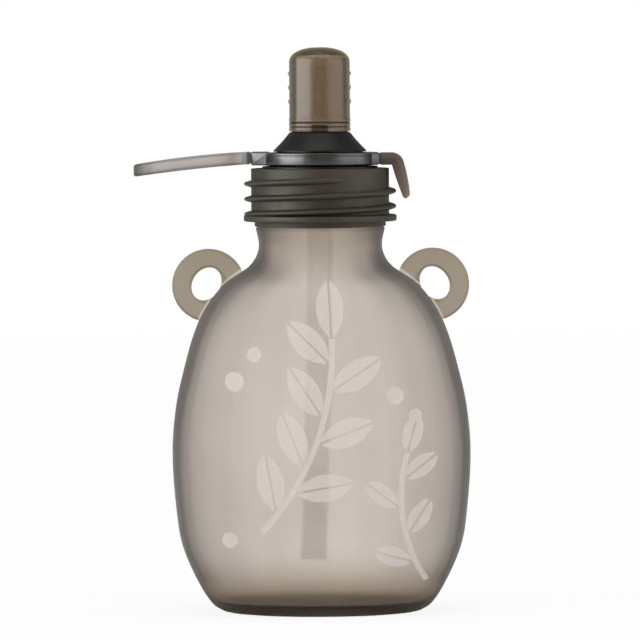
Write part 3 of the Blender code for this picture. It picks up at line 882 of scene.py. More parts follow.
FROSTED = Silicone(
    name="frosted_bag_silicone",
    colour=(0.905, 0.864, 0.823),
    clearness=0.95,
    roughness=0.35,
    dark_colour=(0.455, 0.437, 0.409),
    density=202.0,
    skin=0.25,
    skin_roughness=0.5,
    rims=ShoulderLoopShade(),
    # Painted shade: darker towards the bottom, a faint darker band on the upper belly, a darker neck and a
    # painted shadow under the collar's flange, all towards the warm shaded colour.
    painted_bands=(
        PaintedBand(height=0.0, reach=16.0, kept=0.34),
        PaintedBand(height=84.0, reach=14.0, kept=0.96),
        PaintedBand(height=105.0, reach=14.0, kept=0.74),
        PaintedBand(height=108.2, reach=1.8, kept=0.6),
    ),
    shaded=(0.35, 0.255, 0.14),
    design=LEAF_PRINT,
)
STRAW_SOFT = Silicone(
    name="straw_silicone",
    colour=(0.995, 0.99, 0.985),
    clearness=0.98,
    roughness=0.3,
    dark_colour=(0.6, 0.58, 0.56),
    density=55.0,
    ior=1.03,
    skin=0.1,
    painted=(SHADE,),
)
TAUPE = Silicone(
    name="taupe_silicone",
    colour=(0.96, 0.94, 0.92),
    clearness=0.95,
    roughness=0.4,
    dark_colour=(0.5, 0.45, 0.4),
    density=86.0,
    ior=1.03,
    skin=0.25,
    painted=(SHADE,),
)
SPOUT_SOFT = Silicone(
    name="spout_silicone",
    colour=(0.985, 0.965, 0.93),
    clearness=0.97,
    roughness=0.2,
    dark_colour=(0.5, 0.48, 0.45),
    density=12.0,
    ior=1.003,
    skin=0.1,
)
PIN_CLEAR = Silicone(
    name="pin_plastic",
    colour=(0.97, 0.93, 0.84),
    clearness=0.99,
    roughness=0.3,
    dark_colour=(0.5, 0.4, 0.3),
    density=12.0,
    ior=1.003,
    skin=0.0,
)
BROWN = Silicone(
    name="brown_silicone",
    colour=(0.48, 0.4, 0.33),
    clearness=0.88,
    roughness=0.5,
    dark_colour=(0.5, 0.42, 0.35),
    density=240.0,
    skin=0.6,
    painted=(SHADE,),
)
TINTED = Silicone(
    name="tinted_cap_plastic",
    colour=(0.74, 0.625, 0.485),
    clearness=0.97,
    roughness=0.2,
    dark_colour=(0.5, 0.46, 0.36),
    density=320.0,
    ior=1.004,
    skin=0.9,
    skin_roughness=0.26,
    grain=0.0,
    # A painted highlight line under the roof, with the rest of the cap kept at 0.82, and painted shade in the
    # skirt's two lines.
    painted_bands=(
        PaintedBand(height=155.7, reach=0.35, kept=1.0, full=0.82),
        PaintedBand(height=137.3, reach=0.45, kept=0.4),
        PaintedBand(height=136.1, reach=0.35, kept=0.55),
    ),
    painted=(GLOSS,),
)
SLATE = Moulded(
    name="slate_strap_silicone", colour=(0.003, 0.0025, 0.0015), roughness=0.3, shine=0.9, grain=0.03
)
COLLAR_BROWN = Moulded(
    name="collar_brown_plastic", colour=(0.033, 0.027, 0.017), roughness=0.5, shine=0.26
)
LID_BLACK = Moulded(name="lid_black_plastic", colour=(0.005, 0.004, 0.002), roughness=0.42, shine=0.2)


Finish = Silicone | Moulded | Paper


def dress(item: bpy.types.Object, finish: Finish, crease: float = 40.0) -> None:
    """Shade a piece smooth up to its creases and give it one finish all over."""
    soften(item, crease)
    item.data.materials.clear()
    item.data.materials.append(finish.material())


def mount(item: bpy.types.Object, body: Body, slot: Slot, *nodes: str) -> None:
    """Set a piece riding on its body and hide the CAD nodes it stands for.

    Args:
        item: The finished piece.
        body: The body it moves with.
        slot: Not used.
        nodes: The CAD nodes it replaces.
    """
    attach(item, body.value)
    if nodes:
        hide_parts(*nodes)
    LOG.info("%s rides on %s: %d faces", item.name, body.value, len(item.data.polygons))


def hinge(item: bpy.types.Object, body: Body, node: str) -> None:
    """Bake a piece's place into its mesh and hide the CAD node it replaces; the piece spans the living hinge
    between the lid and the body that swings.

    Args:
        item: The finished piece.
        body: The body that swings.
        node: The CAD node it replaces.
    """
    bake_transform(item)
    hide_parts(node)
    LOG.info("%s bends from the lid to %s: %d faces", item.name, body.value, len(item.data.polygons))


@dataclass
class Bag:
    """The moulded bag: oval shell, round neck and a loop on each shoulder."""

    # Height, half width, half depth and squareness of each station of the outline.
    stations: tuple[tuple[float, float, float, float], ...] = (
        (0.0, 27.3, 18.5, 2.10),
        (2.1, 30.75, 20.75, 2.15),
        (8.9, 35.1, 23.4, 2.20),
        (17.8, 38.95, 25.5, 2.25),
        (25.2, 40.5, 26.25, 2.25),
        (42.6, 41.9, 27.2, 2.25),
        (54.0, 41.35, 26.85, 2.23),
        (65.0, 39.4, 26.0, 2.20),
        (82.5, 34.0, 23.6, 2.12),
        (92.3, 27.0, 21.4, 2.05),
        (97.1, 20.0, 18.9, 2.0),
        (102.1, 17.35, 17.35, 2.0),
        (108.3, 18.2, 18.2, 2.0),
    )
    side_wall: float = 2.7
    front_wall: float = 1.0
    floor: float = 3.0
    floor_fillet: float = 6.5
    foot: float = 1.7
    bore: float = 15.1
    rim_fillet: float = 0.6
    skin_step: float = 1.3
    hollow_step: float = 1.6
    round_steps: int = 8
    sole_rings: tuple[Point, ...] = ((10.0, 7.0), (20.0, 13.5))
    floor_ring: Point = (12.0, 7.0)
    top_ring: float = 9.0
    sides: int = 144
    ear_x: float = 31.45
    ear_z: float = 91.8
    ear_radius: float = 10.2
    ear_thickness: float = 3.8
    ear_edge: float = 0.8
    ear_hole: float = 4.95
    ear_punch: float = 12.0
    ear_narrow: float = 0.79
    ear_shift: float = 0.7
    ear_lean: float = math.radians(33.0)

    def read(self, column: int, height: float) -> float:
        """Read one column of the outline at a height, on a smooth curve through its stations.

        Args:
            column: 1 for half width, 2 for half depth, 3 for squareness.
            height: The height in millimetres.

        Returns:
            The value there.
        """
        rows, last = self.stations, len(self.stations) - 1
        span = max(i for i in range(last) if i == 0 or rows[i][0] <= height)
        lower, upper = rows[span], rows[span + 1]
        step = upper[0] - lower[0]
        share = min(max((height - lower[0]) / step, 0.0), 1.0)
        slopes = []
        for i in (span, span + 1):
            before, after = rows[max(i - 1, 0)], rows[min(i + 1, last)]
            slopes.append((after[column] - before[column]) / (after[0] - before[0]) * step)
        square, cube = share**2, share**3
        ends = lower[column] * (2 * cube - 3 * square + 1) + upper[column] * (3 * square - 2 * cube)
        value = ends + slopes[0] * (cube - 2 * square + share) + slopes[1] * (cube - square)
        return min(value, max(row[column] for row in rows))

    def inner(self, column: int, height: float) -> float:
        """Return the hollow's half size at a height: one wall inside the outer skin, thicker at the sides."""
        delta = 0.5
        slope = (self.read(column, height + delta) - self.read(column, height - delta)) / (2 * delta)
        wall = self.side_wall if column == 1 else self.front_wall
        return max(self.read(column, height) - wall * math.hypot(1.0, slope), self.bore)

    def oval(self, item: bpy.types.Object) -> None:
        """Square the skin's round rings up a little, as the outline says.

        Args:
            item: The lofted skin, whose rings are true ellipses.
        """
        for vert in item.data.vertices:
            height = vert.co.z / MM
            power = self.read(3, min(max(height, 0.0), self.stations[-1][0]))
            width, depth = self.read(1, height), self.read(2, height)
            x, y = vert.co.x / MM / width, vert.co.y / MM / depth
            reach = math.hypot(x, y)
            if reach > 0.0:
                x, y = abs(x) / reach, abs(y) / reach
                size = (x**power + y**power) ** (-1.0 / power) / max(reach, 1.0)
                vert.co.x *= size
                vert.co.y *= size

    def heights(self, low: float, step: float) -> list[float]:
        """Return evenly spaced heights from a low one up to the neck's rim."""
        count = math.ceil((self.stations[-1][0] - low) / step)
        return [low + (self.stations[-1][0] - low) * i / count for i in range(count + 1)]

    def foot_size(self, column: int, height: float) -> float:
        """Return the half size on the foot's round edge, which runs smoothly into the side.

        Args:
            column: 1 for half width, 2 for half depth.
            height: A height between the underside and the foot's upper end, in millimetres.

        Returns:
            The half size there.
        """
        slope = self.read(column, self.foot + 0.6) - self.read(column, self.foot - 0.4)
        end = math.atan2(1.0, slope)
        radius = self.foot / (1 - math.cos(end))
        turn = math.acos(1 - height / radius)
        return self.read(column, self.foot) - radius * (math.sin(end) - math.sin(turn))

    def outer_rings(self) -> list[Corner]:
        """Return the outer skin's rings, with a rounded foot and rim and a pole at each end."""
        pole = POLE / MM
        rings = [(0.0, pole, pole)] + [(0.0, wide, deep) for wide, deep in self.sole_rings]
        for i in range(self.round_steps + 1):
            rise = self.foot * (i / self.round_steps) ** 2
            rings.append((rise, self.foot_size(1, rise), self.foot_size(2, rise)))
        heights = self.heights(self.foot + 0.9, self.skin_step)[:-1]
        rings += [(z, self.read(1, z), self.read(2, z)) for z in heights]
        top, radius = self.stations[-1][0], self.stations[-1][1]
        inset = radius - self.rim_fillet
        rings += [(top - self.rim_fillet, radius, radius), (top, inset, inset)]
        return rings + [(top, self.top_ring, self.top_ring), (top, pole, pole)]

    def hollow_rings(self) -> list[Corner]:
        """Return the hollow's rings, from its filleted floor up through the open neck."""
        above, fillet, pole = self.floor + self.floor_fillet, self.floor_fillet, POLE / MM
        rings = [(self.floor, pole, pole), (self.floor, *self.floor_ring)]
        for i in range(self.round_steps + 1):
            angle = 0.5 * math.pi * i / self.round_steps
            inset = fillet * (1 - math.sin(angle))
            rise = above - fillet * math.cos(angle)
            rings.append((rise, self.inner(1, above) - inset, self.inner(2, above) - inset))
        heights = self.heights(above + self.skin_step, self.hollow_step)
        rings += [(z, self.inner(1, z), self.inner(2, z)) for z in heights]
        top = self.stations[-1][0] + self.side_wall
        return rings + [(top, self.bore, self.bore), (top, pole, pole)]

    def ear(self, side: int) -> bpy.types.Object:
        """Model one shoulder loop: a disc with rounded rims and an oval hole that leans with the shoulder.

        Args:
            side: -1 for the left loop, 1 for the right one.

        Returns:
            The loop, ready to be joined to the bag.
        """
        upright = (math.pi / 2, 0.0, 0.0)
        centre = Vector((side * self.ear_x * MM, 0.0, self.ear_z * MM))
        bpy.ops.object.select_all(action="DESELECT")
        radius, depth = self.ear_radius * MM, self.ear_thickness * MM
        bpy.ops.mesh.primitive_cylinder_add(
            vertices=72, radius=radius, depth=depth, location=centre, rotation=upright
        )
        disc = settle(f"ear_{side}")
        bpy.ops.object.select_all(action="DESELECT")
        radius, depth = self.ear_hole * MM, self.ear_punch * MM
        bpy.ops.mesh.primitive_cylinder_add(
            vertices=64, radius=radius, depth=depth, location=centre, rotation=upright
        )
        punch = settle(f"ear_hole_{side}")
        outward = Vector((side * math.cos(self.ear_lean), 0.0, math.sin(self.ear_lean))) * self.ear_shift * MM
        with editing(punch, everything=True):
            narrow = (self.ear_narrow, 1.0, 1.0)
            bpy.ops.transform.resize(value=narrow, center_override=centre)
            bpy.ops.transform.rotate(value=side * self.ear_lean, orient_axis="Y", center_override=centre)
            bpy.ops.transform.translate(value=outward)
        combine(disc, punch, "DIFFERENCE")
        face = self.ear_thickness / 2 * MM
        with editing(disc):
            pick_edges(disc, lambda spot: abs(abs(spot.y) - face) < 0.01 * MM, 60.0)
            bpy.ops.mesh.bevel(offset=self.ear_edge * MM, segments=5, affect="EDGES")
            tidy_skin()
        return disc

    def build(self) -> None:
        """Model and dress the bag, with its hollow and its loops."""
        bag = lofted("bag", self.outer_rings(), self.sides)
        self.oval(bag)
        for side in (-1, 1):
            combine(bag, self.ear(side), "UNION")
        hollow = lofted("hollow", self.hollow_rings(), self.sides)
        self.oval(hollow)
        combine(bag, hollow, "DIFFERENCE")
        dress(bag, FROSTED, crease=32.0)
        mount(bag, Body.POUCH, Slot.BAG, "pouch_body")


@dataclass
class Collar:
    """The rigid collar in the neck, with its screw thread."""

    core: float = 19.35
    bore: float = 16.5
    mouth: float = 13.2
    sleeve: float = 14.7
    step: float = 18.4
    flange: float = 21.45
    top: float = 124.5
    ledge: float = 111.5
    flange_base: float = 109.7
    step_base: float = 108.25
    sleeve_end: float = 107.9
    pitch: float = 4.25
    crest: float = 21.35
    sink: float = 0.3
    crest_flat: float = 0.7
    flank_flat: float = 0.74
    first_turn: float = math.radians(-630.0)
    last_turn: float = math.radians(306.0)
    fade: float = math.radians(62.0)
    crest_height: float = 120.2
    sides: int = 144

    def shell(self) -> bpy.types.Object:
        """Model the collar's round body."""
        profile = rounded(
            [
                (self.bore, self.top, 0.5),
                (self.core, self.top, 0.35),
                (self.core, self.ledge, 0.5),
                (self.flange, self.ledge, 0.6),
                (self.flange, self.flange_base, 0.5),
                (self.step, self.flange_base, 0.15),
                (self.step, self.step_base, 0.2),
                (self.sleeve, self.step_base, 0.0),
                (self.sleeve, self.sleeve_end, 0.2),
                (self.mouth, self.sleeve_end, 0.3),
                (self.mouth, self.ledge, 0.2),
                (self.bore, self.ledge, 0.0),
            ]
        )
        return turned("collar", profile, self.sides)

    def turn_of(self, spot: Vector) -> float:
        """Return how far round the thread a point lies, in radians from the first turn's zero."""
        angle = math.atan2(spot.y, spot.x)
        level = (spot.z / MM - self.crest_height) / self.pitch * 2 * math.pi + math.pi
        return angle + 2 * math.pi * round((level - angle) / (2 * math.pi))

    def thread(self) -> bpy.types.Object:
        """Model the thread: one rounded ridge, screwed round the core and faded out at its upper end.

        Returns:
            The ridge.
        """
        start = self.crest_height + (self.first_turn - math.pi) / (2 * math.pi) * self.pitch
        middle = (self.core - self.sink + self.crest) / 2
        bpy.ops.object.select_all(action="DESELECT")
        centre = (middle * MM, 0.0, start * MM)
        bpy.ops.mesh.primitive_circle_add(
            vertices=16, radius=1.0 * MM, location=centre, rotation=(math.pi / 2, 0.0, 0.0)
        )
        ridge = settle("collar_thread")
        with editing(ridge, everything=True):
            wide = (self.crest - self.core + self.sink) / 2
            bpy.ops.transform.resize(value=(wide, 1.0, 1.0), center_override=centre)
            pick_verts(ridge, lambda spot: spot.x > middle * MM + 0.1 * MM)
            bpy.ops.transform.resize(value=(1.0, 1.0, self.crest_flat), center_override=centre)
            pick_verts(ridge, lambda spot: abs(spot.x - middle * MM) <= 0.1 * MM)
            bpy.ops.transform.resize(value=(1.0, 1.0, self.flank_flat), center_override=centre)
            bpy.ops.mesh.select_all(action="SELECT")
            bpy.ops.transform.rotate(value=-self.first_turn, orient_axis="Z", center_override=(0.0, 0.0, 0.0))
        sweep = self.last_turn - self.first_turn
        steps = round(sweep / (2 * math.pi) * self.sides)
        rise = sweep / (2 * math.pi) * self.pitch * MM
        spans = {"steps": steps, "render_steps": steps, "iterations": 1}
        apply_modifier(ridge, "SCREW", axis="Z", angle=sweep, screw_offset=rise, **spans)
        for vert in ridge.data.vertices:
            keep = eased(self.last_turn - self.turn_of(vert.co), 0.0, self.fade)
            radius = math.hypot(vert.co.x, vert.co.y)
            low = (self.core - self.sink) * MM
            ratio = (low + (radius - low) * keep) / radius if radius > low else 1.0
            vert.co.x *= ratio
            vert.co.y *= ratio
        with editing(ridge):
            bpy.ops.mesh.select_all(action="DESELECT")
            bpy.ops.mesh.select_non_manifold()
            bpy.ops.mesh.fill_holes(sides=0)
            tidy_skin()
        return ridge

    def build(self) -> None:
        """Model and dress the collar and its thread."""
        shell, ridge = self.shell(), self.thread()
        for item in (shell, ridge):
            dress(item, COLLAR_BROWN)
        mount(shell, Body.POUCH, Slot.COLLAR, "neck_collar")
        mount(ridge, Body.POUCH, Slot.COLLAR)


@dataclass
class Lid:
    """The push-in lid: plug, strap groove, cone, spigot and straw socket, with its lip seal."""

    plug: float = 16.2
    plug_base: float = 111.8
    plug_top: float = 125.1
    plug_wall: float = 2.6
    wall: float = 1.6
    seal_top: float = 123.3
    seal_base: float = 119.5
    seal_depth: float = 1.3
    groove: float = 12.0
    cone_lip: float = 13.3
    cone_base: float = 129.2
    cone_top: float = 134.78
    cone_radius: float = 8.3
    cone_hollow: float = 0.2
    cone_shoulder: float = 0.8
    cone_span: float = 0.106
    cone_steps: int = 8
    cone_fillet: float = 1.6
    spigot: float = 2.4
    spigot_barb: float = 0.15
    barb_drop: float = 0.9
    spigot_top: float = 136.6
    bore: float = 2.0
    socket_bore: float = 3.95
    socket_radius: float = 5.35
    socket_base: float = 112.3
    socket_stop: float = 125.3
    sides: int = 128

    def cone(self) -> list[Corner]:
        """Return the cone's slightly hollow side, from its rounded top to its lip."""
        points = []
        for share in [1.0] + [self.cone_shoulder - self.cone_span * i for i in range(self.cone_steps)]:
            hollow = self.cone_hollow * math.sin(math.pi * share)
            radius = self.cone_lip + (self.cone_radius - self.cone_lip) * share - hollow
            fillet = self.cone_fillet if share == 1.0 else 0.0
            points.append((radius, self.cone_base + (self.cone_top - self.cone_base) * share, fillet))
        return points

    def shell(self) -> bpy.types.Object:
        """Model the lid in one profile."""
        inner = self.plug - self.seal_depth
        roof, hollow = self.cone_top - self.wall, self.plug - self.plug_wall
        corners = [
            (self.bore, self.spigot_top, 0.2),
            (self.spigot, self.spigot_top, 0.3),
            (self.spigot + self.spigot_barb, self.spigot_top - self.barb_drop, 0.1),
            (self.spigot, self.spigot_top - self.barb_drop, 0.0),
            (self.spigot, self.cone_top, 0.3),
        ]
        corners += self.cone()
        corners += [
            (self.cone_lip - 0.25, self.cone_base, 0.12),
            (self.groove, self.cone_base, 0.0),
            (self.groove, self.plug_top, 0.0),
            (self.plug, self.plug_top, 0.3),
            (self.plug, self.seal_top, 0.15),
            (inner, self.seal_top, 0.0),
            (inner, self.seal_base, 0.0),
            (self.plug, self.seal_base, 0.15),
            (self.plug, self.plug_base, 0.5),
            (hollow, self.plug_base, 0.3),
            (hollow, self.plug_top - self.wall, 0.5),
            (self.groove - self.wall, self.plug_top, 0.4),
            (self.groove - self.wall, self.cone_base, 0.5),
            (self.cone_radius - self.wall / 2, roof, 0.5),
            (self.socket_radius, roof, 0.4),
            (self.socket_radius, self.socket_base, 0.3),
            (self.socket_bore, self.socket_base, 0.3),
            (self.socket_bore, self.socket_stop, 0.0),
            (self.bore, self.socket_stop, 0.0),
        ]
        return turned("lid", rounded(corners), self.sides)

    def seal(self) -> bpy.types.Object:
        """Model the seal with two rounded lips."""
        inner, outer = self.plug - self.seal_depth + 0.3, self.plug
        top, base = self.seal_top - 0.3, self.seal_base + 0.3
        third = (top - base) / 3
        corners = [
            (inner, base, 0.15),
            (inner, top, 0.15),
            (outer - 0.5, top, 0.2),
            (outer, top - third / 2, 0.3),
            (outer - 0.5, top - third, 0.2),
            (outer - 0.5, base + third, 0.2),
            (outer, base + third / 2, 0.3),
            (outer - 0.5, base, 0.2),
        ]
        return turned("lid_lip_seal", rounded(corners), self.sides)

    def build(self) -> None:
        """Model and dress the lid and its seal."""
        shell, seal = self.shell(), self.seal()
        dress(shell, LID_BLACK)
        dress(seal, SLATE)
        mount(shell, Body.LID, Slot.LID, "spout_lid")
        mount(seal, Body.LID, Slot.DARK, "lid_seal")


@dataclass
class Strap:
    """The soft strap round the lid: ring, finger loop and pull tab."""

    inner: float = 12.3
    outer: float = 16.3
    base: float = 125.4
    top: float = 128.9
    middle: float = 127.15
    edge: float = 0.45
    line_height: float = 128.1
    line_depth: float = 0.12
    lift: float = 0.3
    lug_end: float = 19.2
    lug_half: float = 5.0
    tab_lug_end: float = 16.5
    tab_lug_half: float = 6.5
    lug_flare: float = 1.5
    thickness: float = 3.4
    gap: float = 0.3
    web: float = 1.5
    bend_span: float = 3.0
    hinge_x: float = -21.2
    loop_radius: float = 15.6
    loop_band: float = 4.4
    loop_edge: float = 0.8
    loop_root_half: float = 4.5
    loop_slope: float = 0.05
    loop_sag: float = 0.00175
    loop_twist: float = math.radians(0.35)
    loop_reach: float = 0.995
    loop_rim: float = 0.5
    loop_far: float = 0.75
    loop_near: float = 0.7
    loop_flare: tuple[Point, ...] = (
        (0.0, 1.0),
        (0.4, 1.03),
        (0.8, 1.1),
        (1.2, 1.22),
        (1.6, 1.4),
        (2.0, 1.62),
        (2.4, 1.85),
    )
    tab_x: float = 18.5
    tab_elbow: float = 2.95
    tab_bend: float = 1.35
    tab_reach: float = 5.85
    tab_drop: float = 10.0
    tab_tip: float = 2.2
    tab_side: float = 2.1
    tab_width: float = 13.0
    tab_tip_width: float = 7.0
    tab_dark: float = 0.57
    tip_turns: tuple[float, ...] = (25.0, 50.0, 68.0, 80.0)
    end_span: float = 0.3
    loop_step: float = 0.233
    tab_step: float = 0.26
    elbow_steps: int = 22
    taper_steps: int = 10
    sides: int = 128

    def ring(self) -> bpy.types.Object:
        """Model the ring with a fine line round its edge, a lug for the loop and one for the tab."""
        line, deep = self.line_height, self.line_depth
        corners = [
            (self.inner, self.base, self.edge),
            (self.inner, self.top, self.edge),
            (self.outer, self.top, self.edge),
            (self.outer, line + 0.2, 0.08),
            (self.outer - deep, line + 0.12, 0.05),
            (self.outer - deep, line - 0.12, 0.05),
            (self.outer, line - 0.2, 0.08),
            (self.outer, self.base, self.edge),
        ]
        ring = turned("strap_band", rounded(corners), self.sides)
        sink = (self.inner + self.outer) / 2
        low, high = (self.middle - self.thickness / 2) * MM, (self.middle + self.thickness / 2) * MM
        lugs = (
            (-self.lug_end, -sink, self.lug_half, self.lift * MM),
            (sink, self.tab_lug_end, self.tab_lug_half, 0.0),
        )
        for left, right, half, lift in lugs:
            lug = add_block("lug", (left * MM, -half * MM, low), (right * MM, half * MM, high + lift))
            with editing(lug):
                pick_verts(lug, lambda spot: abs(abs(spot.x) - sink * MM) < 0.01 * MM)
                flare = (1.0, 1.0 + self.lug_flare / half, 1.0)
                bpy.ops.transform.resize(value=flare, center_override=(0.0, 0.0, 0.0))
                pick_edges(lug, lambda spot: True, 60.0)
                bpy.ops.mesh.bevel(offset=0.35 * MM, segments=3, affect="EDGES")
            combine(ring, lug, "UNION")
        return ring

    def add_web(self, item: bpy.types.Object, start: float, end: float, half: float) -> None:
        """Join the thin web of a living hinge to a piece.

        Args:
            item: The loop or the tab, with its hinge axis at the origin.
            start: Where the web begins.
            end: Where it ends, just inside the lug.
            half: Half the web's width.
        """
        section = BarSection(half, -self.web, self.web, 0.2)
        web = drawn_bar("web", section, [(start, 1.0, 1.0), (end, 1.0, 1.0)])
        combine(item, web, "UNION")

    def loop(self) -> bpy.types.Object:
        """Model the finger loop: a rounded band that flares out of its root and sags a little."""
        half = self.thickness / 2
        inner, outer = self.loop_radius - self.loop_band, self.loop_radius
        corners = [(inner, -half, self.loop_edge), (inner, half, self.loop_edge)]
        corners += [(outer, half, self.loop_edge), (outer, -half, self.loop_edge)]
        band = turned("finger_ring", rounded(corners, 6), self.sides)
        with editing(band, everything=True):
            bpy.ops.transform.translate(value=(-self.loop_radius * MM, 0.0, 0.0))
        section = BarSection(self.loop_root_half, -half, half, 0.4)
        end = self.lug_end + self.hinge_x + self.gap
        stations = section.blunt_end(-end, -1.0)
        stations += [(-end - self.end_span - i * self.loop_step, 1.0, 1.0) for i in range(6)]
        stations += [(-away, ratio, 1.0) for away, ratio in self.loop_flare]
        combine(band, drawn_bar("loop_root", section, stations), "UNION")
        self.add_web(band, -end - 0.4, -end + self.gap + 0.05, self.loop_root_half - 0.8)
        # Painted shade: the loop is darker on its rims, at its far end and at its hinge end.
        paint(band, SHADE, lambda spot: self.loop_shade(spot.x / MM, spot.z / MM))
        for vert in band.data.vertices:
            vert.co.x *= self.loop_reach
            away = max(1.0 - vert.co.x / MM, 0.0)
            turn = eased(away, 0.0, 10.0)
            vert.co.z -= (self.loop_slope * away + self.loop_sag * away**2) * MM
            vert.co.z -= math.tan(self.loop_twist) * turn * vert.co.y
            vert.co += Vector((self.hinge_x * MM, 0.0, (self.middle + self.lift) * MM))
        return band

    def loop_shade(self, along: float, height: float) -> float:
        """Return how much of its colour the flat loop keeps, as painted shade: less on its rims, far end and
        hinge end.

        Args:
            along: Millimetres from the hinge axis, negative towards the far end.
            height: Millimetres above the loop's middle.
        """
        half = self.thickness / 2
        rim = 1.0 - (1.0 - self.loop_rim) * eased(abs(height), half - 0.9, half - 0.3)
        far = 1.0 - self.loop_far * eased(-along, 2 * self.loop_radius - 5.0, 2 * self.loop_radius - 0.5)
        near = 1.0 - self.loop_near * eased(along, 0.4, 0.9)
        return rim * far * near

    def tab_stations(self, section: BarSection, length: float) -> list[Corner]:
        """Return the pull tab's sections before it is bent.

        Args:
            section: The full cross-section.
            length: The path's length from the hinge axis to the tip, in millimetres.

        Returns:
            Place, width ratio and thickness ratio of each section.
        """
        root = self.tab_lug_end + self.gap - self.tab_x
        start = root + self.end_span + self.elbow_steps * self.tab_step
        stations = section.blunt_end(root, 1.0)
        for i in range(self.elbow_steps):
            stations.append((root + self.end_span + i * self.tab_step, 1.0, 1.0))
        for i in range(self.taper_steps + 1):
            run = i / self.taper_steps
            wide = 1.0 + (self.tab_tip_width / self.tab_width - 1.0) * run**2
            thick = 1.0 + (self.tab_tip / self.thickness - 1.0) * run**2
            stations.append((start + (length - start) * run, wide, thick))
        wide, thick = stations[-1][1:]
        for turn in self.tip_turns:
            ahead = self.tab_tip / 2 * math.sin(math.radians(turn))
            squeeze = math.cos(math.radians(turn))
            stations.append((length + ahead, wide * (0.7 + 0.3 * squeeze), thick * squeeze))
        return stations

    def tab(self) -> bpy.types.Object:
        """Model the pull tab: a crowned bar, tapered and then bent down round its elbow."""
        half = self.thickness / 2
        fall = math.atan2(self.tab_drop, self.tab_reach - self.tab_elbow)
        radius = self.tab_bend / math.tan(fall / 2)
        level = self.tab_elbow - self.tab_bend
        curve = radius * fall
        length = level + curve + math.hypot(self.tab_drop, self.tab_reach - self.tab_elbow) - self.tab_bend
        high = -half + self.tab_side
        section = BarSection(self.tab_width / 2, -half, high, 0.5, half - high)
        tab = drawn_bar("thumb_tab", section, self.tab_stations(section, length))
        root = self.tab_lug_end + self.gap - self.tab_x
        self.add_web(tab, root + 0.4, root - self.gap - 0.05, self.tab_width / 2 - 1.0)
        # Painted shade: the tab is darker towards its root at the hinge.
        dark = self.tab_dark
        paint(tab, SHADE, lambda spot: dark + (1.0 - dark) * eased(spot.x / MM, 1.0, 9.0))
        for vert in tab.data.vertices:
            along, across = vert.co.x / MM, vert.co.z / MM
            turn = min(max((along - level) / radius, 0.0), fall)
            beyond = along - level - radius * turn if along > level else 0.0
            x = min(along, level) + (radius + across) * math.sin(turn) + beyond * math.cos(turn)
            z = -radius + (radius + across) * math.cos(turn) - beyond * math.sin(turn)
            vert.co.x, vert.co.z = (self.tab_x + x) * MM, (self.middle + z) * MM
        return tab

    def build(self) -> None:
        """Model and dress the ring, the finger loop and the pull tab."""
        ring, loop, tab = self.ring(), self.loop(), self.tab()
        for item, finish in ((ring, SLATE), (loop, TAUPE), (tab, BROWN)):
            dress(item, finish)
        mount(ring, Body.LID, Slot.DARK, "strap_ring")
        hinge(loop, Body.LOOP, "finger_loop")
        hinge(tab, Body.TAB, "pull_tab")


@dataclass
class Spout:
    """The soft drinking spout on the lid, and the straw below it."""

    bore: float = 2.0
    socket: float = 3.1
    socket_top: float = 138.9
    flange: float = 7.3
    flange_height: float = 1.5
    root: float = 5.6
    tip: float = 4.7
    base: float = 134.8
    top: float = 153.2
    straw: float = 3.65
    straw_bore: float = 2.75
    straw_top: float = 125.0
    straw_free: float = 112.3
    straw_end: float = 14.6
    straw_lean: float = 2.4
    straw_bend: float = 1.5
    straw_steps: int = 48
    straw_dark: float = 0.92
    straw_dark_span: Point = (25.0, 50.0)
    sides: int = 64

    def nozzle(self) -> bpy.types.Object:
        """Model the spout with its rounded mouth and thick root."""
        flange_top = self.base + self.flange_height
        corners = [
            (self.socket, self.base, 0.2),
            (self.flange, self.base, 0.3),
            (self.flange, flange_top, 0.5),
            (self.root, flange_top, 0.8),
            (self.tip, self.top, 1.6),
            (self.bore, self.top, 0.4),
            (self.bore, self.socket_top, 0.0),
            (self.socket, self.socket_top, 0.0),
        ]
        return turned("soft_spout", rounded(corners, 6), self.sides)

    def tube(self) -> bpy.types.Object:
        """Model the straw as one open tube, with painted shade at its end, which leans to the left."""
        length, steps = self.straw_top - self.straw_end, self.straw_steps
        heights = [self.straw_end + length * i / steps for i in range(steps + 1)]
        outside = [(self.straw, z, 0.4 if z == heights[0] else 0.0) for z in heights]
        inside = [(self.straw_bore, z, 0.4 if z == heights[0] else 0.0) for z in reversed(heights)]
        tube = turned("straw_tube", rounded(outside + inside), self.sides)
        # Painted shade: the straw is darker towards its lower end.
        dark = self.straw_dark
        paint(tube, SHADE, lambda spot: dark + (1.0 - dark) * eased(spot.z / MM, *self.straw_dark_span))
        for vert in tube.data.vertices:
            free = max(self.straw_free - vert.co.z / MM, 0.0) / (self.straw_free - self.straw_end)
            vert.co.x -= self.straw_lean * free**self.straw_bend * MM
        return tube

    def build(self) -> None:
        """Model and dress the spout and the straw."""
        nozzle, tube = self.nozzle(), self.tube()
        dress(nozzle, SPOUT_SOFT)
        dress(tube, STRAW_SOFT)
        mount(nozzle, Body.LID, Slot.LOOP, "spout_nozzle")
        mount(tube, Body.LID, Slot.BAG, "straw")


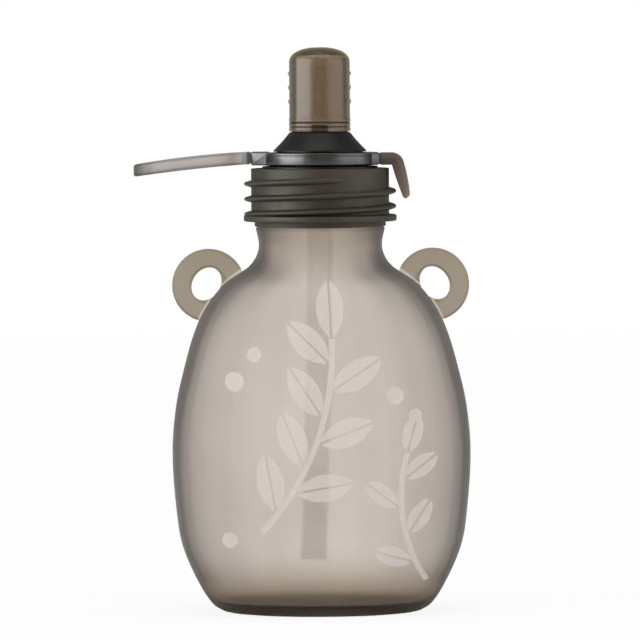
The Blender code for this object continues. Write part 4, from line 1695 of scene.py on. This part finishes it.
@dataclass
class Cap:
    """The translucent cap over the spout, with three rows of grip dots on each side."""

    radius: float = 8.5
    base: float = 134.86
    top: float = 158.36
    band: float = 0.12
    band_height: float = 3.6
    dome: float = 4.3
    dome_power: float = 2.3
    dome_steps: int = 20
    skirt: float = 1.0
    wall: float = 1.35
    roof: float = 2.1
    pin: float = 1.5
    pin_length: float = 17.3
    pin_sides: int = 48
    lines: tuple[float, ...] = (136.1, 137.3)
    line_depth: float = 0.15
    line_half: float = 0.2
    line_mouth: float = 0.32
    line_gloss: float = 0.3
    dot: float = 0.62
    dot_height: float = 0.42
    dot_rows: tuple[float, ...] = (151.0, 147.1, 143.2)
    dot_turns: tuple[float, ...] = (-30.0, 0.0, 30.0, 150.0, 180.0, 210.0)
    sides: int = 96

    def shell(self) -> bpy.types.Object:
        """Model the cap in one profile: banded skirt, domed roof and hollow."""
        band_top, outer = self.base + self.band_height, self.radius + self.band
        cavity, skirt = self.radius - self.wall, self.radius - self.skirt + self.band
        under, spring = self.top - self.roof, self.top - self.dome
        corners = [(skirt, self.base, 0.2), (outer, self.base, 0.3)]
        deep = outer - self.line_depth
        for line in self.lines:
            corners += [(outer, line - self.line_mouth, 0.08), (deep, line - self.line_half, 0.08)]
            corners += [(deep, line + self.line_half, 0.08), (outer, line + self.line_mouth, 0.08)]
        corners += [(outer, band_top, 0.12), (self.radius, band_top + 0.1, 0.1)]
        for i in range(self.dome_steps):
            turn = 0.5 * math.pi * i / self.dome_steps
            reach = self.radius * math.cos(turn) ** (2 / self.dome_power)
            corners.append((reach, spring + self.dome * math.sin(turn) ** (2 / self.dome_power), 0.0))
        corners += [
            (0.0, self.top, 0.0),
            (0.0, under, 0.0),
            (cavity, under, 1.0),
            (cavity, band_top, 0.1),
            (skirt, band_top, 0.2),
        ]
        cover = turned("spout_cover", rounded(corners), self.sides)
        paint(cover, GLOSS, self.gloss)
        return cover

    def gloss(self, spot: Vector) -> float:
        """Return 1 on the cap's outer skin, less in the lines' grooves and 0 inside."""
        height = spot.z / MM
        at_side = math.hypot(spot.x, spot.y) / MM > self.radius - self.wall + 0.5
        if not (at_side or height > self.top - self.roof + 0.4):
            return 0.0
        in_line = any(abs(height - line) < self.line_half + 0.05 for line in self.lines)
        return self.line_gloss if in_line else 1.0

    def stopper(self) -> bpy.types.Object:
        """Model the pin under the roof, which closes the spout's mouth."""
        root, tip = self.top - self.roof + 0.2, self.top - self.roof - self.pin_length
        corners = [(0.0, root, 0.0), (self.pin + 0.5, root, 0.0), (self.pin, root - 1.0, 0.5)]
        corners += [(self.pin, tip, 0.5), (0.0, tip, 0.0)]
        return turned("cap_pin", rounded(corners, closed=False), self.pin_sides, closed=False)

    def first_dot(self) -> bpy.types.Object:
        """Model one low grip dot, standing on the cap's side at +X."""
        centre = ((self.radius - 0.05) * MM, 0.0, 0.0)
        bpy.ops.object.select_all(action="DESELECT")
        bpy.ops.mesh.primitive_uv_sphere_add(segments=12, ring_count=8, radius=self.dot * MM, location=centre)
        dot = settle("cap_grip_dots")
        with editing(dot, everything=True):
            flat = (self.dot_height / self.dot, 1.0, 1.0)
            bpy.ops.transform.resize(value=flat, center_override=centre)
            bpy.ops.mesh.bisect(plane_co=centre, plane_no=(-1.0, 0.0, 0.0), use_fill=True, clear_outer=True)
            tidy_skin()
        return dot

    def dots(self) -> bpy.types.Object:
        """Copy the grip dot to every place on the cap and join the copies.

        Returns:
            All the dots in one piece.
        """
        first = self.first_dot()
        copies = []
        for height in self.dot_rows:
            for turn in self.dot_turns:
                copy = first.copy()
                copy.data = first.data.copy()
                lift = Matrix.Translation((0.0, 0.0, height * MM))
                copy.data.transform(lift @ Matrix.Rotation(math.radians(turn), 4, "Z"))
                bpy.context.scene.collection.objects.link(copy)
                copies.append(copy)
        bpy.data.objects.remove(first, do_unlink=True)
        activate(copies[0])
        for copy in copies:
            copy.select_set(True)
        bpy.ops.object.join()
        joined = bpy.context.active_object
        joined.name = joined.data.name = "cap_grip_dots"
        paint(joined, GLOSS, lambda spot: 1.0)
        return joined

    def build(self) -> None:
        """Model and dress the cap, its dots and its pin."""
        shell, dots, pin = self.shell(), self.dots(), self.stopper()
        for item, finish in ((shell, TINTED), (dots, TINTED), (pin, PIN_CLEAR)):
            dress(item, finish)
        mount(shell, Body.CAP, Slot.CAP, "spout_cap")
        mount(dots, Body.CAP, Slot.CAP)
        mount(pin, Body.CAP, Slot.CAP)


class Role(Enum):
    """What a lamp does: light the surfaces, be mirrored in them, or both."""

    LIGHT = (True, False)
    MIRRORED = (False, True)
    BOTH = (True, True)


@dataclass(frozen=True)
class Softbox:
    """One soft lamp, aimed at the middle of the pouch."""

    name: str
    place: Place
    width: float
    height: float
    power: float
    role: Role


@dataclass
class Studio:
    """Plain pale floor, white background, soft lamps and the camera."""

    distance: float = 1.42
    eye: float = 0.154
    aim: Place = (-0.23 * MM, 0.0, 81.86 * MM)
    lens: float = 284.8
    roll: float = math.radians(-0.32)
    sensor: float = 36.0
    floor_radius: float = 6.0
    ambient: float = 0.6
    mirrored: float = 0.3
    boxes: tuple[Softbox, ...] = field(
        default=(
            Softbox("left_softbox", (-1.3, -0.6, 0.4), 0.5, 1.1, 9.0, Role.LIGHT),
            Softbox("right_softbox", (1.3, -0.45, 0.4), 0.45, 1.1, 6.0, Role.LIGHT),
            Softbox("top_softbox", (0.0, -0.1, 1.7), 1.2, 1.2, 11.0, Role.BOTH),
            Softbox("left_mirrored", (-1.1, -0.48, 0.35), 1.5, 1.2, 38.5, Role.MIRRORED),
            Softbox("right_mirrored", (1.1, -0.48, 0.35), 1.5, 1.2, 11.5, Role.MIRRORED),
        )
    )

    def camera(self) -> None:
        """Set the camera at the photograph's viewing angle."""
        lens = bpy.data.cameras.new("camera")
        lens.lens, lens.sensor_width = self.lens, self.sensor
        lens.clip_start, lens.clip_end = 0.05, 60.0
        item = bpy.data.objects.new("camera", lens)
        bpy.context.scene.collection.objects.link(item)
        item.location = (self.aim[0], -self.distance, self.eye)
        facing = (Vector(self.aim) - item.location).to_track_quat("-Z", "Y")
        item.rotation_euler = (facing @ Quaternion((0.0, 0.0, 1.0), self.roll)).to_euler()
        bpy.context.scene.camera = item

    def lamps(self) -> None:
        """Hang the soft lamps."""
        for box in self.boxes:
            lamp = bpy.data.lights.new(box.name, "AREA")
            lamp.shape, lamp.size, lamp.size_y, lamp.energy = "RECTANGLE", box.width, box.height, box.power
            item = bpy.data.objects.new(box.name, lamp)
            bpy.context.scene.collection.objects.link(item)
            item.location = box.place
            item.visible_diffuse, item.visible_glossy = box.role.value
            item.visible_transmission = False
            item.rotation_euler = (Vector(self.aim) - item.location).to_track_quat("-Z", "Y").to_euler()

    def world(self) -> None:
        """Give the world an even soft light, white where it is seen or looked through."""
        world = bpy.data.worlds.new("studio")
        world.use_nodes = True
        bpy.context.scene.world = world
        back = world.node_tree.nodes["Background"]
        back.inputs["Color"].default_value = (1.0, 1.0, 1.0, 1.0)
        nodes = Nodes(world.node_tree)
        ray = nodes.add("ShaderNodeLightPath").outputs
        seen = nodes.sum("MAXIMUM", ray["Is Camera Ray"], ray["Is Transmission Ray"])
        level = nodes.ramp(seen, (0.0, 1.0), (self.ambient, 1.0))
        dimming = self.mirrored - self.ambient
        strength = nodes.sum("MULTIPLY_ADD", ray["Is Glossy Ray"], dimming, level)
        nodes.feed(back.inputs["Strength"], strength)

    def ground(self) -> None:
        """Lay the paper floor, a wide disc."""
        profile = [(0.0, 0.0), (self.floor_radius / 12 / MM, 0.0), (self.floor_radius / MM, 0.0)]
        floor = turned("studio_floor", profile, 64, closed=False)
        dress(floor, Paper())

    def build(self) -> None:
        """Set up the whole studio."""
        bpy.context.scene.view_settings.view_transform = "Standard"
        self.ground()
        self.lamps()
        self.world()
        self.camera()


def main() -> None:
    """Build every sub-assembly in order, then the studio."""
    logging.basicConfig(level=logging.INFO, format="%(name)s: %(message)s")
    for assembly in (Bag(), Collar(), Lid(), Strap(), Spout(), Cap()):
        assembly.build()
        LOG.info("%s is built", type(assembly).__name__)
    Studio().build()


if __name__ == "__main__":
    main()
